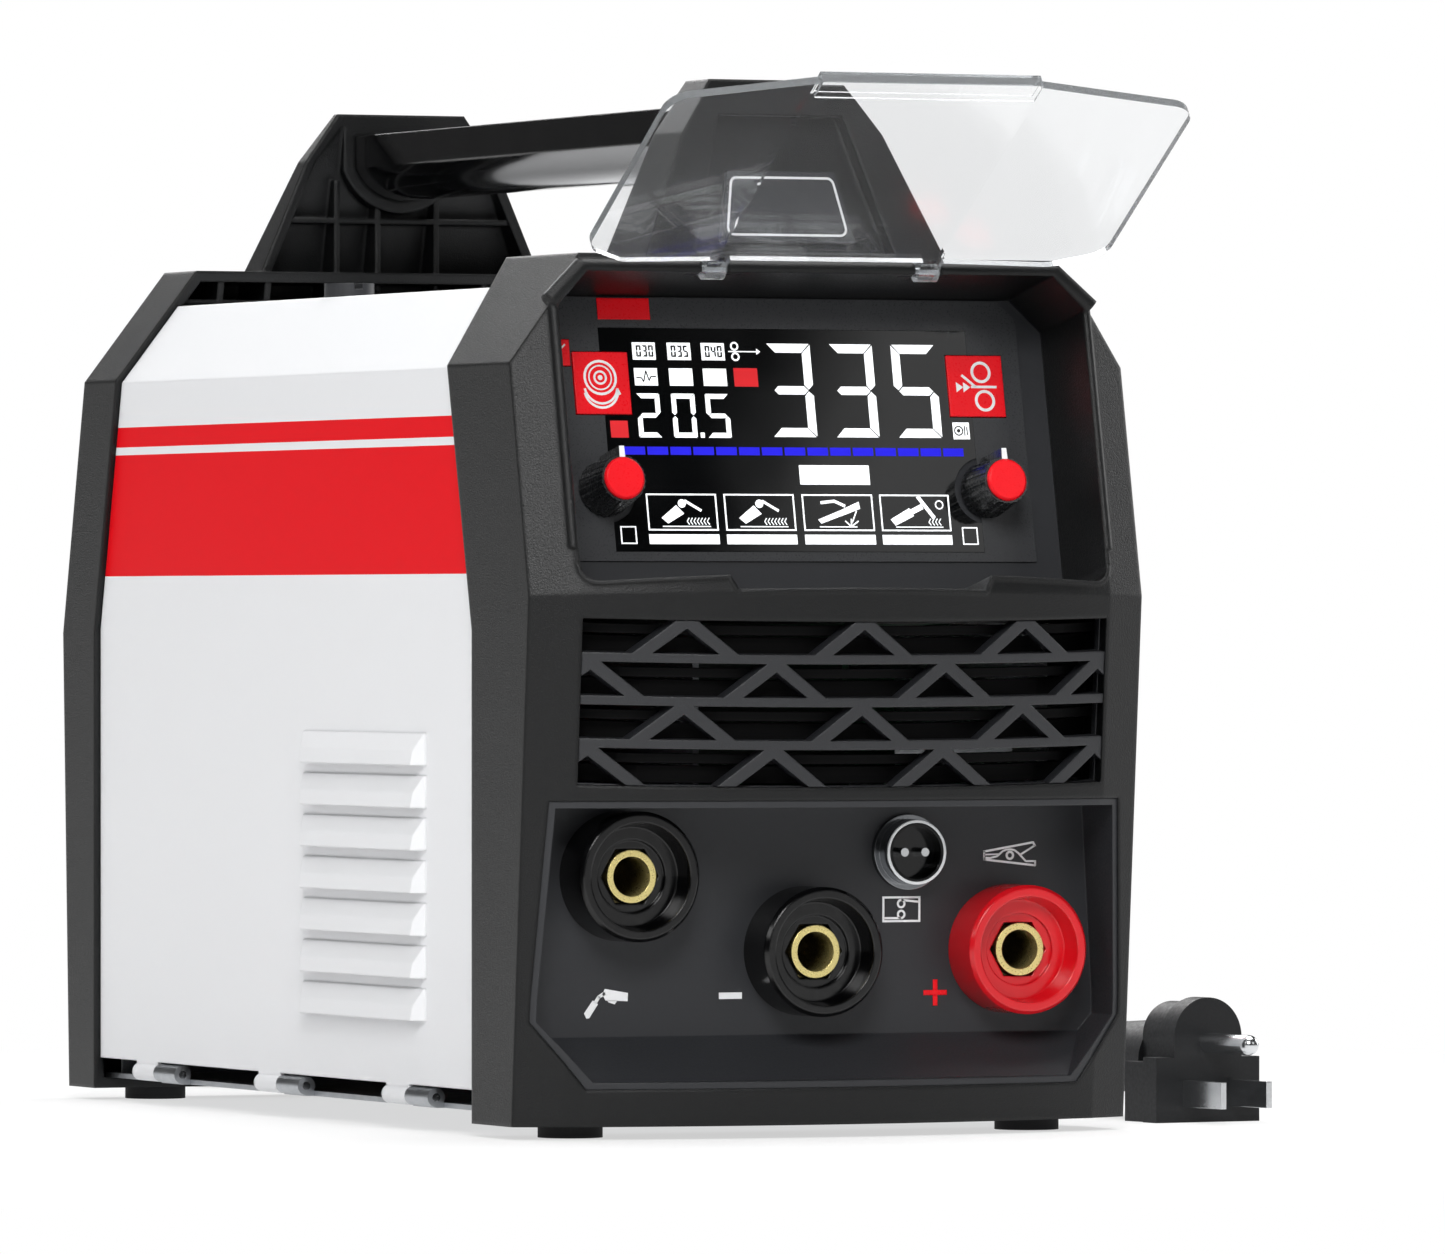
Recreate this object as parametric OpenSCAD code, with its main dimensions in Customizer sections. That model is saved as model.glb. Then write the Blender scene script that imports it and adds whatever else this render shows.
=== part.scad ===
// Portable wire-feed welding machine.
// X runs to the right as seen by someone facing the controls, Y to the back, Z up from the floor.

/* [Case] */
// Width over the moulded end bezels
body_w = 155; // [153:0.5:160]
// Distance between the front and the rear kink lines
body_d = 295; // [293:1:310]
// Height of the front bezel
body_h = 203; // [202:0.5:208]
// Width of the flat top between the corner chamfers
top_w = 120; // [116:1:122]
// Height from the shoulders to the top of the front bezel
shoulder_drop = 25.4; // [24:0.2:27]
// Wall of the moulded bezels
bezel_wall = 2.6; // [2.2:0.1:2.8]
// Thickness of the painted sheet
sheet_t = 1; // [0.8:0.1:1.1]
// How far the sheet lies inside the bezels' outline
sheet_inset = 1.5; // [1.4:0.1:1.8]
// How far the sheet's top lies below the bezel's top
top_step = 7; // [6.5:0.5:8]

/* [Front bezel] */
// Height from the crease of the front to its top
kink_drop = 78.6; // [77.6:0.2:79]
// Backward lean of the upper face in degrees
front_lean = 12; // [11:0.5:12.5]
// Undercut of the lower face in degrees
front_under = 4.7; // [4:0.1:5.2]
// How far the face steps out between the corner and the recess
crown_edge = 5; // [4:0.5:5]
// Bulge of the face beyond that step
crown_bulge = 10.5; // [9:0.5:11]
// Depth of the bezel's side below the seam's kink
front_seam = 33.5; // [33:0.5:36]

/* [Rear bezel] */
// Height from the crease of the back to the top of the case
rear_kink_drop = 87.5; // [85:0.5:89]
// Forward lean of the upper rear face in degrees
rear_lean = 13.4; // [12.5:0.1:13.6]
// Undercut of the lower rear face in degrees
rear_under = 2.1; // [1:0.1:3]
// Depth of the rear bezel's side
rear_seam = 21.5; // [21:0.5:23]
// Side margin between the case and the rear opening
rear_margin = 13.5; // [12.5:0.5:15]

/* [Control recess] */
// Width of the recess
ctl_w = 133; // [132:0.5:134]
// Depth of the panel behind the kink line, square to the upper face
panel_d = 18; // [17:0.5:18.5]
// Width of the display window
window_w = 93.4; // [90:0.2:94]
// Distance between the two knobs
knob_gap = 97; // [96.5:0.5:98]
// Diameter of a knob at its foot
knob_dia = 13.2; // [12.8:0.1:13.6]
// Height of a knob above the panel
knob_h = 12.5; // [11.5:0.5:13]
// Travel of a key
key_travel = 0.5; // [0.3:0.1:0.6]

/* [Visor] */
// Length of the visor from its hinge
visor_l = 73.5; // [72:0.5:73.5]
// Width of the visor over its wings
visor_w = 131; // [128:0.5:131]
// Thickness of the clear sheet
visor_t = 2; // [1.6:0.1:2.2]
// Angle above the horizontal at which the open visor stands
visor_open = 34; // [30:1:38]

/* [Grille] */
// Rows of openings
grille_rows = 4; // [4:1:4]
// Width of the level bars
grille_bar = 2.1; // [1.8:0.1:2.4]
// Width of the slanting struts
strut_w = 4.4; // [3.8:0.1:4.8]
// Distance from one inverted V to the next
strut_pitch = 42.7; // [42:0.1:43.2]

/* [Sockets] */
// Bore of a power socket, for a 9 mm plug pin
socket_bore = 9.2; // [9.1:0.02:9.4]
// Diameter of a socket's collar
socket_dia = 30; // [29:0.5:31]
// How far a socket's collar stands out of its panel
socket_out = 12.5; // [11.5:0.5:13]
// Depth of the socket panel behind the kink line
socket_panel_set = 17.5; // [17:0.5:18]

/* [Handle] */
// Width of the handle bar
bar_w = 24.6; // [23:0.2:26]
// Height of the handle bar's top over the case
bar_rise = 36; // [35.5:0.5:37]
// Height of the handle bar itself
bar_h = 16; // [15:0.5:16.5]
// Height of the handle towers above the case
tower_h = 41.4; // [41:0.2:43]

/* [Wire feed] */
// Height of the wire's line
wire_z = 60; // [59:0.5:61]
// Diameter of the wire spool
spool_dia = 100; // [98:1:100]
// Width of the wire spool
spool_w = 45; // [44:0.5:45]
// Diameter of the spool's bore
spool_bore = 16.1; // [15.8:0.1:17]
// Diameter of the wound wire
wound_dia = 90; // [88:1:90]
// Diameter of the drive roll
drive_dia = 30; // [29:0.5:30.5]
// Diameter of the pressure roll
idler_dia = 22; // [21:0.5:22]

/* [Fan] */
// Width of the square fan
fan_w = 70; // [68:1:71]
// Thickness of the fan
fan_t = 25; // [24:1:26]

/* [Mains lead] */
// Diameter of the lead
cord_d = 9.5; // [9:0.1:9.6]
// Radius of the coil's inner turn
coil_r = 42; // [41.5:0.5:44]
// Gap between the turns of the coil
coil_gap = 0.7; // [0.6:0.1:1]

/* [Hidden] */
$fn = 48;
fit = 0.05; // running clearance on a radius
slip = 0.2; // clearance between loose pieces
foot_h = 3;
half_w = body_w / 2;
half_d = body_d / 2;
shoulder_z = body_h - shoulder_drop;
kink_z = body_h - kink_drop;
rear_kink_z = body_h - rear_kink_drop;
bar_top = body_h + bar_rise;
bay_x = 77.5 - half_w; // how far the wire bay moves in when the case is narrower
foot_x = half_w - 19.5;
rear_h = body_h + 1.8;
rear_top = rear_h - 18.8; // top of the opening in the rear bezel
wall = bezel_wall;
under = sheet_inset + sheet_t + 0.1; // inner outline of the painted sheets
sheet_top = body_h - top_step;
chamfer_k = (body_w - top_w) / 2 / (body_h - shoulder_z);
ctl_half = ctl_w / 2;
seam_bend = body_h - 86.5;
seam_lean = 13.5;
rear_seam_y = half_d - rear_seam;
front_seam_y = -half_d + front_seam;

// ---- general helpers ----

// extrudes an X-Z outline from y0 to y1
module along(y0, y1) {
    translate([0, y1, 0])
        rotate([90, 0, 0])
            linear_extrude(y1 - y0)
                children();
}

// extrudes a Y-Z outline from x0 to x1
module across(x0, x1) {
    translate([x0, 0, 0])
        rotate([90, 0, 90])
            linear_extrude(x1 - x0)
                children();
}

// a box from its two corners
module block(a, b) {
    translate(a)
        cube(b - a);
}

// a round bar along Y from y0 to y1
module bar_y(x, z, y0, y1, r, r2 = 0) {
    translate([x, y1, z])
        rotate([90, 0, 0])
            cylinder(h = y1 - y0, r1 = r2 > 0 ? r2 : r, r2 = r);
}

// a round bar along X from x0 to x1
module bar_x(y, z, x0, x1, r) {
    translate([x0, y, z])
        rotate([0, 90, 0])
            cylinder(h = x1 - x0, r = r);
}

// the frame of the upper face: y runs inwards, z runs up the lean
module on_face() {
    translate([0, -half_d, kink_z])
        rotate([-front_lean, 0, 0])
            children();
}

// the frame of the undercut lower face
module on_lower() {
    translate([0, -half_d, kink_z])
        rotate([front_under, 0, 0])
            children();
}

// ---- outlines of the case ----

// section of the case across X and Z, drawn in by g
module outline(g, z0, z1) {
    w = half_w - g;
    s = shoulder_z - g * 0.31;
    x1 = w - (z1 - s) * chamfer_k;
    polygon([[-w, z0], [w, z0], [w, s], [x1, z1], [-x1, z1], [-w, s]]);
}

crown_e = ctl_half + 0.5;
crown_k = crown_edge / (half_w - crown_e);
crown_r = (crown_e * crown_e + crown_bulge * crown_bulge) / (2 * crown_bulge);

// plan of the bulged front face, drawn in by g
module face_plan(g) {
    w = half_w - g;
    intersection() {
        polygon([[-w - 3, g + 3 * crown_k], [0, g - w * crown_k], [w + 3, g + 3 * crown_k], [w + 3, body_d],
            [-w - 3, body_d]]);
        translate([0, crown_r - crown_edge - crown_bulge])
            circle(crown_r - g, $fn = 180);
    }
}

// the plane through the kink line that halves the angle between the two leans
module at_mitre() {
    translate([0, -half_d, kink_z])
        rotate([(front_under - front_lean) / 2, 0, 0])
            children();
}

bulge_end = 6; // how far the bulge goes on above the kink, under the lower lip of the recess

// the front end of the case as a solid, drawn in by g
module front_mass(g) {
    intersection() {
        along(-half_d - 20, -half_d + 75)
            outline(g, foot_h + g, body_h - g);
        union() {
            intersection() {
                on_face()
                    difference() {
                        translate([0, 0, -30])
                            linear_extrude(150)
                                face_plan(g);
                        block([-90, -40, bulge_end], [90, g + 0.25 - crown_edge, 130]);
                    }
                at_mitre()
                    block([-95, -60, 0], [95, 90, 120]);
            }
            intersection() {
                on_lower()
                    translate([0, 0, -150])
                        linear_extrude(190)
                            face_plan(g);
                at_mitre()
                    block([-95, -60, -140], [95, 90, 0]);
            }
        }
    }
}

// side view of everything ahead of the front seam, moved back by d
module ahead_of_seam(d) {
    y = front_seam_y + d;
    polygon([[-half_d - 40, 0], [y, 0], [y, seam_bend], [y + (260 - seam_bend) * tan(seam_lean), 260],
        [-half_d - 40, 260]]);
}

// side view of everything behind the rear seam, moved forward by d
module behind_seam(d) {
    y = rear_seam_y - d;
    polygon([[half_d + 40, 0], [y, 0], [y, seam_bend], [y - (260 - seam_bend) * tan(seam_lean), 260],
        [half_d + 40, 260]]);
}

// ---- openings ----

ctl_top = 74.7;

// opening of the control recess, in the frame of the upper face, grown by g
module ctl_opening(g) {
    h = ctl_half + g;
    k = ctl_half - 4;
    r = 4 + g;
    polygon(concat(
        [for (a = [180 : 22.5 : 270]) [-k + r * cos(a), 6 + r * sin(a)]],
        [for (a = [270 : 22.5 : 360]) [k + r * cos(a), 6 + r * sin(a)]],
        [[h, ctl_top - 7.7 + g * 0.4], [59 + g * 0.4, ctl_top + g], [-59 - g * 0.4, ctl_top + g],
            [-h, ctl_top - 7.7 + g * 0.4]]));
}

// thumb notch in the lower lip of the recess, grown by g
module thumb_notch(g) {
    polygon([[-31 - g * 0.6, -1.5 - g], [31 + g * 0.6, -1.5 - g], [33.5 + g * 1.2, 3], [-33.5 - g * 1.2, 3]]);
}

sock_top = 77.5;

// opening of the socket recess, drawn in by g
module sock_opening(g) {
    w = half_w - 3 - g;
    polygon([[2.5 - w, sock_top - g], [w - 2.5, sock_top - g], [w, 32], [w, 27], [w - 12.5, 11.5 + g],
        [12.5 - w, 11.5 + g], [-w, 27], [-w, 32]]);
}

grille_top = -4.7;
grille_pitch = (kink_z - sock_top + grille_top - 2.8) / grille_rows;
grille_end = grille_top - grille_rows * grille_pitch + grille_bar - 0.9;
grille_half = ctl_half - 0.3;

// opening of the grille, in the frame of the lower face, grown by g
module grille_opening(g) {
    translate([-grille_half - g, grille_end - g])
        square([2 * (grille_half + g), grille_top - grille_end + 2 * g]);
}

// ---- handle and towers ----

bar_half = bar_w / 2;
bar_floor = bar_top - bar_h;
bar_r = (bar_half * bar_half + (bar_h - 8) * (bar_h - 8)) / (2 * (bar_h - 8));
bar_front = -half_d + 39.5;
bar_rear = half_d - 32;

// section of the handle bar, grown by g
module bar_section(g) {
    intersection() {
        translate([0, bar_floor + bar_r])
            circle(bar_r + g, $fn = 96);
        translate([-bar_half - g, bar_floor - g])
            square([bar_w + 2 * g, bar_h + 2 * g]);
    }
}

// front view of a tower, drawn in by g
module tower_view(g) {
    z1 = body_h + tower_h;
    polygon([[-39.6 + g, body_h - 3], [-25.5 + g, body_h + 29.5], [-17 + g * 0.7, z1 - g],
        [17 - g * 0.7, z1 - g], [25.5 - g, body_h + 29.5], [39.6 - g, body_h - 3]]);
}

tower_z = body_h - 2.8;
front_tower_y = -half_d + 24.2 - 3.8 * tan(15); // face of the front tower at its foot
front_tower_back = -half_d + 48.5;
rear_tower_y = half_d - 18.6 - (body_h - 2.8 - 196) * 0.24; // back of the rear tower at its foot
rear_tower_front = half_d - 32.5;

// side view of the front tower between two depths behind its leaning face
module front_tower_side(d0, d1) {
    h = tower_h + 6;
    polygon([[front_tower_y + d0, tower_z], [front_tower_y + d0 + h * tan(15), tower_z + h],
        [min(front_tower_y + d1 + h * tan(15), front_tower_back), tower_z + h],
        [min(front_tower_y + d1, front_tower_back), tower_z]]);
}

// side view of the rear tower, drawn in from its back by g
module rear_tower_side(g, y0) {
    h = tower_h + 2.8;
    polygon([[y0, tower_z], [rear_tower_y - g, tower_z], [max(rear_tower_y - g - h * 0.24, y0 + 0.01), tower_z + h],
        [y0, tower_z + h]]);
}

module front_tower() {
    difference() {
        intersection() {
            along(-half_d, front_tower_back)
                tower_view(0);
            across(-50, 50)
                front_tower_side(0, 60);
        }
        // hollow, open towards the handle
        difference() {
            intersection() {
                along(-half_d, front_tower_back + 1)
                    tower_view(wall);
                across(-50, 50)
                    polygon([[front_tower_y + 7.6, tower_z - 1], [front_tower_y + 7.6 + 50 * tan(15), tower_z + 49],
                        [front_tower_back + 2, tower_z + 49], [front_tower_back + 2, tower_z - 1]]);
            }
            along(-half_d, front_tower_back)
                bar_section(3);
            for (x = [-13, 0, 13])
                block([x - 0.8, -half_d, tower_z - 1], [x + 0.8, front_tower_back - 4, bar_floor + 4]);
        }
        // seat of the bar
        along(bar_front, front_tower_back + 1)
            bar_section(0);
        // pocket of the badge
        intersection() {
            along(-half_d, front_tower_back)
                polygon([[-25.3, body_h + 1.6], [25.3, body_h + 1.6], [16, body_h + 33.7], [-16, body_h + 33.7]]);
            across(-50, 50)
                front_tower_side(-3, 5);
        }
    }
}

module rear_tower() {
    difference() {
        intersection() {
            along(rear_tower_front, half_d)
                tower_view(0);
            across(-50, 50)
                rear_tower_side(0, rear_tower_front);
        }
        difference() {
            intersection() {
                along(rear_tower_front - 1, half_d)
                    tower_view(wall);
                across(-50, 50)
                    rear_tower_side(wall, rear_tower_front - 1);
            }
            along(rear_tower_front, half_d)
                bar_section(3);
            for (x = [-16.8, -5.8, 10])
                block([x - 0.7, rear_tower_front + 1, tower_z], [x + 0.7, half_d, bar_floor + 5]);
            block([-34, rear_tower_front + 1, body_h + 14.3], [34, half_d, body_h + 15.7]);
        }
        along(rear_tower_front - 1, bar_rear)
            bar_section(0);
    }
}

// ---- front bezel ----

hinge_d = -4.85;
hinge_v = ctl_top + 1.05;
visor_y = -half_d + hinge_d * cos(front_lean) + hinge_v * sin(front_lean);
visor_z = kink_z - hinge_d * sin(front_lean) + hinge_v * cos(front_lean);
knuckle_x = 27;
rim_r = 2.2;

// round bead on the rim of the control recess, in line with the visor's hinge
module rim_bead() {
    on_face() {
        bar_x(hinge_d, hinge_v, -60.2, 60.2, rim_r);
        for (m = [-1, 1]) {
            translate([m * 59.4, hinge_d, hinge_v + 0.5])
                rotate([0, m * 133.5, 0])
                    cylinder(h = 12.6, r = rim_r);
            translate([m * (ctl_half + 0.9), -crown_edge + 0.5, 10])
                cylinder(h = 58, r = 1.2);
        }
    }
}

// low ridge round the lower lip and its notch
module lip_ridge() {
    intersection() {
        front_mass(-0.5);
        on_face()
            along(-30, 1)
                intersection() {
                    union() {
                        ctl_opening(0.9);
                        thumb_notch(0.9);
                    }
                    translate([-75, -8])
                        square([150, 19]);
                }
    }
}

module front_tongue() {
    intersection() {
        along(-half_d, 0)
            difference() {
                outline(under, 14, sheet_top - sheet_t - 0.1);
                outline(under + 2, 12, sheet_top - sheet_t - 2.1);
            }
        across(-90, 90)
            difference() {
                ahead_of_seam(8);
                ahead_of_seam(-9);
            }
    }
}

module front_bezel() {
    color("#26272a")
        difference() {
            union() {
                intersection() {
                    difference() {
                        front_mass(0);
                        front_mass(wall);
                    }
                    across(-90, 90)
                        ahead_of_seam(0);
                }
                // walls of the control recess, deeper at the lower lip
                intersection() {
                    front_mass(0);
                    on_face()
                        along(-20, panel_d + 0.5)
                            union() {
                                ctl_opening(2.4);
                                translate([-ctl_half - 2.4, -2.6])
                                    square([ctl_w + 4.8, 7]);
                            }
                }
                rim_bead();
                lip_ridge();
                // ribs under the top
                for (x = [-51, -39, -19, 19, 39, 51])
                    intersection() {
                        front_mass(wall - 0.1);
                        block([x - 0.8, -half_d + 25, sheet_top - sheet_t - 0.1], [x + 0.8, -half_d + 53, body_h - 2]);
                        across(-90, 90)
                            ahead_of_seam(-1);
                    }
                front_tongue();
                front_tower();
            }
            // control recess
            on_face()
                along(-40, panel_d + 1)
                    ctl_opening(0);
            // thumb notch in the lower lip
            on_face()
                along(-30, 1.1)
                    thumb_notch(0);
            // notches of the visor's knuckles
            on_face()
                for (m = [-1, 1])
                    along(-12, -1.2)
                        translate([m * knuckle_x - 3.4, ctl_top - 2.7])
                            square([6.8, 12]);
            // bores of the visor's pins
            for (m = [-1, 1])
                bar_x(visor_y, visor_z, m * knuckle_x - 7, m * knuckle_x + 7, 0.9);
            // socket recess
            along(-half_d - 40, -half_d + 22)
                sock_opening(0);
            // grille
            on_lower()
                along(-40, 6)
                    grille_opening(0);
            // stems of the feet
            for (x = [-foot_x, foot_x])
                translate([x, -half_d + 21.5, 0])
                    cylinder(h = 12, r = 3);
            // screws of the cover
            for (z = [30, 150])
                bar_x(cover_screw_y(-1, z), z, half_w - 9, half_w, 1.5);
        }
}

function cover_screw_y(side, z) = side < 0
    ? front_seam_y + 4 + max(0, z - seam_bend) * tan(seam_lean)
    : rear_seam_y - 4 - max(0, z - seam_bend) * tan(seam_lean);

// ---- rear bezel ----

// side view of the rear end, drawn in from its back by g
module rear_side(g) {
    polygon([[0, 0], [half_d - g - rear_kink_z * tan(rear_under), 0], [half_d - g, rear_kink_z],
        [half_d - g - (230 - rear_kink_z) * tan(rear_lean), 230], [0, 230]]);
}

module rear_mass(g) {
    intersection() {
        along(20, half_d + 10)
            outline(g, foot_h + g, rear_h - g);
        across(-90, 90)
            rear_side(g);
    }
}

rear_panel_y = half_d - 25.5;

module rear_bezel() {
    color("#26272a")
        difference() {
            union() {
                intersection() {
                    difference() {
                        rear_mass(0);
                        rear_mass(wall);
                    }
                    across(-90, 90)
                        behind_seam(0);
                }
                // walls of the rear recess
                intersection() {
                    rear_mass(0);
                    along(rear_panel_y + 1.2, half_d + 10)
                        difference() {
                            outline(rear_margin, 15, rear_top);
                            outline(rear_margin + 2.4, 17.4, rear_top - 2.4);
                        }
                }
                // ribs and ledge under the top
                for (x = [-51.5, -39, -19, 19, 39, 51.5])
                    intersection() {
                        rear_mass(wall - 0.1);
                        block([x - 0.8, half_d - 42, sheet_top - sheet_t - 0.1], [x + 0.8, half_d - 20, rear_h - 2]);
                        across(-90, 90)
                            behind_seam(-1);
                    }
                intersection() {
                    rear_mass(wall - 0.1);
                    block([-70, 0, sheet_top + 0.6], [70, half_d, sheet_top + 1.8]);
                    across(-90, 90)
                        behind_seam(-1);
                }
                // tongue under the sheets
                intersection() {
                    along(0, half_d)
                        difference() {
                            outline(under, 14, sheet_top - sheet_t - 0.1);
                            outline(under + 2, 12, sheet_top - sheet_t - 2.1);
                        }
                    across(-90, 90)
                        difference() {
                            behind_seam(8);
                            behind_seam(-9);
                        }
                }
                rear_tower();
            }
            along(rear_panel_y + 1.2 + 0.01, half_d + 20)
                outline(rear_margin + 2.4, 17.4, rear_top - 2.4);
            for (x = [-foot_x, foot_x])
                translate([x, half_d - 13, 0])
                    cylinder(h = 12, r = 3);
            for (z = [30, 150])
                bar_x(cover_screw_y(1, z), z, half_w - 9, half_w, 1.5);
        }
}

// ---- grille ----

module grille_lattice() {
    h = grille_pitch - grille_bar;
    k = (h - 1.9) / (13.5 - strut_w);
    difference() {
        grille_opening(-0.15);
        for (i = [0 : grille_rows - 1])
            translate([-grille_half, grille_top - i * grille_pitch - h - (i == grille_rows - 1 ? 0.9 : 0)])
                square([2 * grille_half, h + (i == grille_rows - 1 ? 0.9 : 0)]);
    }
    for (i = [0 : grille_rows - 1])
        intersection() {
            grille_opening(-0.15);
            for (j = [-2 : 2])
                translate([(j + (i % 2) / 2) * strut_pitch, grille_top - i * grille_pitch])
                    polygon([[-13.5, -h - 1], [-1.6, 0.5], [1.6, 0.5], [13.5, -h - 1], [13.5 - strut_w, -h - 1],
                        [0, -1.9], [strut_w - 13.5, -h - 1]]);
        }
}

// the curved skin of the lower face between two depths
module lower_skin(g0, g1) {
    on_lower()
        translate([0, 0, -60])
            linear_extrude(58)
                difference() {
                    face_plan(g0);
                    face_plan(g1);
                }
}

module front_grille() {
    color("#2b2c2f") {
        intersection() {
            lower_skin(0.3, wall + 1.6);
            on_lower()
                along(-40, 6)
                    grille_lattice();
        }
        intersection() {
            lower_skin(wall, wall + 1.6);
            on_lower()
                along(-40, 6)
                    difference() {
                        intersection() {
                            grille_opening(2);
                            translate([-80, -80])
                                square([160, 80 + grille_top + 0.6]);
                        }
                        grille_opening(-0.2);
                    }
        }
    }
}

// curved slats behind the grille, a narrow one and a broad one to each row, joined by cheeks
module grille_slats() {
    color("#3c3e42") {
        for (k = [[4.6, 5.8, -0.366, 0.223], [7.4, 8.6, -0.853, 0.406]])
            intersection() {
                lower_skin(k[0], k[1]);
                on_lower()
                    along(-40, 14)
                        for (i = [0 : grille_rows - 1])
                            translate([10.5 - half_w, grille_top + (k[2] - i) * grille_pitch])
                                square([2 * half_w - 21, k[3] * grille_pitch]);
            }
        intersection() {
            lower_skin(wall + 1.7, 8.9);
            on_lower()
                for (m = [-1, 1])
                    block([m * (half_w - 10.2) - 0.9, -12, grille_end - 1],
                        [m * (half_w - 10.2) + 0.9, 14, grille_top - 1]);
        }
    }
}

// ---- painted sheets ----

louvre_rows = 7;
louvre_top = 92.5;
louvre_y0 = -half_d + 65.5;
louvre_y1 = -half_d + 137.5;

// slots of the louvres on one side, each behind its hood
module louvre_slots(m) {
    x = half_w - sheet_inset;
    for (i = [0 : louvre_rows - 1])
        mirror([m < 0 ? 1 : 0, 0, 0])
            block([x - 3, louvre_y0, louvre_top - 6.9 - i * 9.9], [x + 0.3, louvre_y1, louvre_top - 3.5 - i * 9.9]);
}

// shape of a hood seen from above, its ends sloping up from the sheet
module hood_plan(x, y0, y1) {
    translate([0, 0, -12])
        linear_extrude(14)
            polygon([[x - 4, y0], [x, y0], [x + 3.4, y0 + 5], [x + 3.4, y1 - 5], [x, y1], [x - 4, y1]]);
}

// hoods pressed out over the slots, open below
module louvre_hoods(m) {
    x = half_w - sheet_inset;
    for (i = [0 : louvre_rows - 1])
        translate([0, 0, louvre_top - i * 9.9])
            mirror([m < 0 ? 1 : 0, 0, 0])
                difference() {
                    intersection() {
                        along(louvre_y0 - 8, louvre_y1 + 8)
                            polygon([[x - 0.5, 0], [x + 0.6, 0], [x + 2.4, -4], [x + 2.8, -7.5], [x - 0.5, -7.5]]);
                        hood_plan(x + 0.35, louvre_y0 - 1.6, louvre_y1 + 1.6);
                    }
                    intersection() {
                        along(louvre_y0 - 8, louvre_y1 + 8)
                            polygon([[x - 3, -1], [x - 0.1, -1], [x + 1.5, -4.3], [x + 1.9, -9], [x - 3, -9]]);
                        hood_plan(x - 0.3, louvre_y0, louvre_y1);
                    }
                }
}

module sheet_section() {
    difference() {
        outline(sheet_inset, 5, sheet_top);
        outline(sheet_inset + sheet_t, 4, sheet_top - sheet_t);
    }
}

door_split = 28.5 - half_w;
hinge_x = -half_w + 2.5;
hinge_z = 8;

module between_seams(g) {
    across(-90, 90)
        difference() {
            translate([-half_d, 0])
                square([2 * half_d, 230]);
            ahead_of_seam(g);
            behind_seam(g);
        }
}

module cover() {
    color("#d9dadb")
        difference() {
            union() {
                intersection() {
                    along(-half_d, half_d)
                        intersection() {
                            sheet_section();
                            translate([door_split, 6])
                                square([body_w, 2 * body_h]);
                        }
                    between_seams(0.1);
                }
                intersection() {
                    block([door_split - 4, -half_d, sheet_top - sheet_t - 1.2],
                        [door_split + 8, half_d, sheet_top - sheet_t]);
                    between_seams(10);
                }
                louvre_hoods(1);
            }
            louvre_slots(1);
            for (z = [30, 150], s = [-1, 1])
                bar_x(cover_screw_y(s, z), z, half_w - 6, half_w, 1.7);
        }
}

module case_screws() {
    color("#8d9094")
        for (z = [30, 150], s = [-1, 1]) {
            bar_x(cover_screw_y(s, z), z, half_w - 5.8, half_w - sheet_inset + 0.4, 1.5);
            bar_x(cover_screw_y(s, z), z, half_w - sheet_inset, half_w - sheet_inset + 1.4, 3.2);
        }
}

knuckle_ys = [-80, 0, 80];

module wire_door() {
    color("#d9dadb")
        difference() {
            union() {
                intersection() {
                    along(-half_d, half_d)
                        intersection() {
                            sheet_section();
                            translate([-120, 10.6])
                                square([120 + door_split - 0.4, 2 * body_h]);
                        }
                    between_seams(0.4);
                }
                louvre_hoods(-1);
                for (y = knuckle_ys) {
                    bar_y(hinge_x, hinge_z, y + 7.2, y + 21, 2.2);
                    block([-half_w + sheet_inset, y + 7.2, hinge_z], [-half_w + sheet_inset + sheet_t, y + 21, 11]);
                }
            }
            louvre_slots(-1);
            for (y = knuckle_ys)
                bar_y(hinge_x, hinge_z, y, y + 30, 1 + fit);
            translate([latch_x, latch_y, sheet_top - 5])
                cylinder(h = 10, r = 3 + fit);
        }
}

module door_hinge_pin() {
    color("#8d9094")
        for (y = knuckle_ys)
            bar_y(hinge_x, hinge_z, y - 7, y + 21, 1);
}

latch_x = door_split - 8;
latch_y = 10;

module door_latch() {
    color("#1f2022")
        translate([latch_x, latch_y, sheet_top]) {
            difference() {
                translate([0, 0, slip])
                    cylinder(h = 3.2, r = 6);
                block([-1, -7, 2], [1, 7, 4]);
            }
            translate([0, 0, -4.2])
                cylinder(h = 4.6, r = 3);
            block([-2, 0, -4.2], [2, 8.6, -2.8]);
        }
}

pan_z = foot_h + wall;

module base_pan() {
    color("#b9bbbe")
        difference() {
            union() {
                block([-73, front_seam_y - 4, pan_z], [74.4, rear_seam_y + 4, pan_z + 1.2]);
                block([73.2, front_seam_y + 1, pan_z], [half_w - under + 0.1, rear_seam_y - 1, 13.4]);
                for (y = knuckle_ys) {
                    bar_y(hinge_x, hinge_z, y - 7, y + 7, 2.2);
                    block([hinge_x, y - 7, pan_z], [-72, y + 7, pan_z + 1.2]);
                }
            }
            for (y = knuckle_ys)
                bar_y(hinge_x, hinge_z, y - 10, y + 10, 1);
        }
}

module feet() {
    color("#1c1c1e")
        for (x = [-foot_x, foot_x], y = [-half_d + 21.5, half_d - 13])
            translate([x, y, 0]) {
                cylinder(h = foot_h, r = 7.5);
                cylinder(h = foot_h + wall, r = 3);
            }
}

// ---- handle ----

module handle_bar() {
    color("#141416")
        along(bar_front, bar_rear)
            bar_section(0);
}

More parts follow.
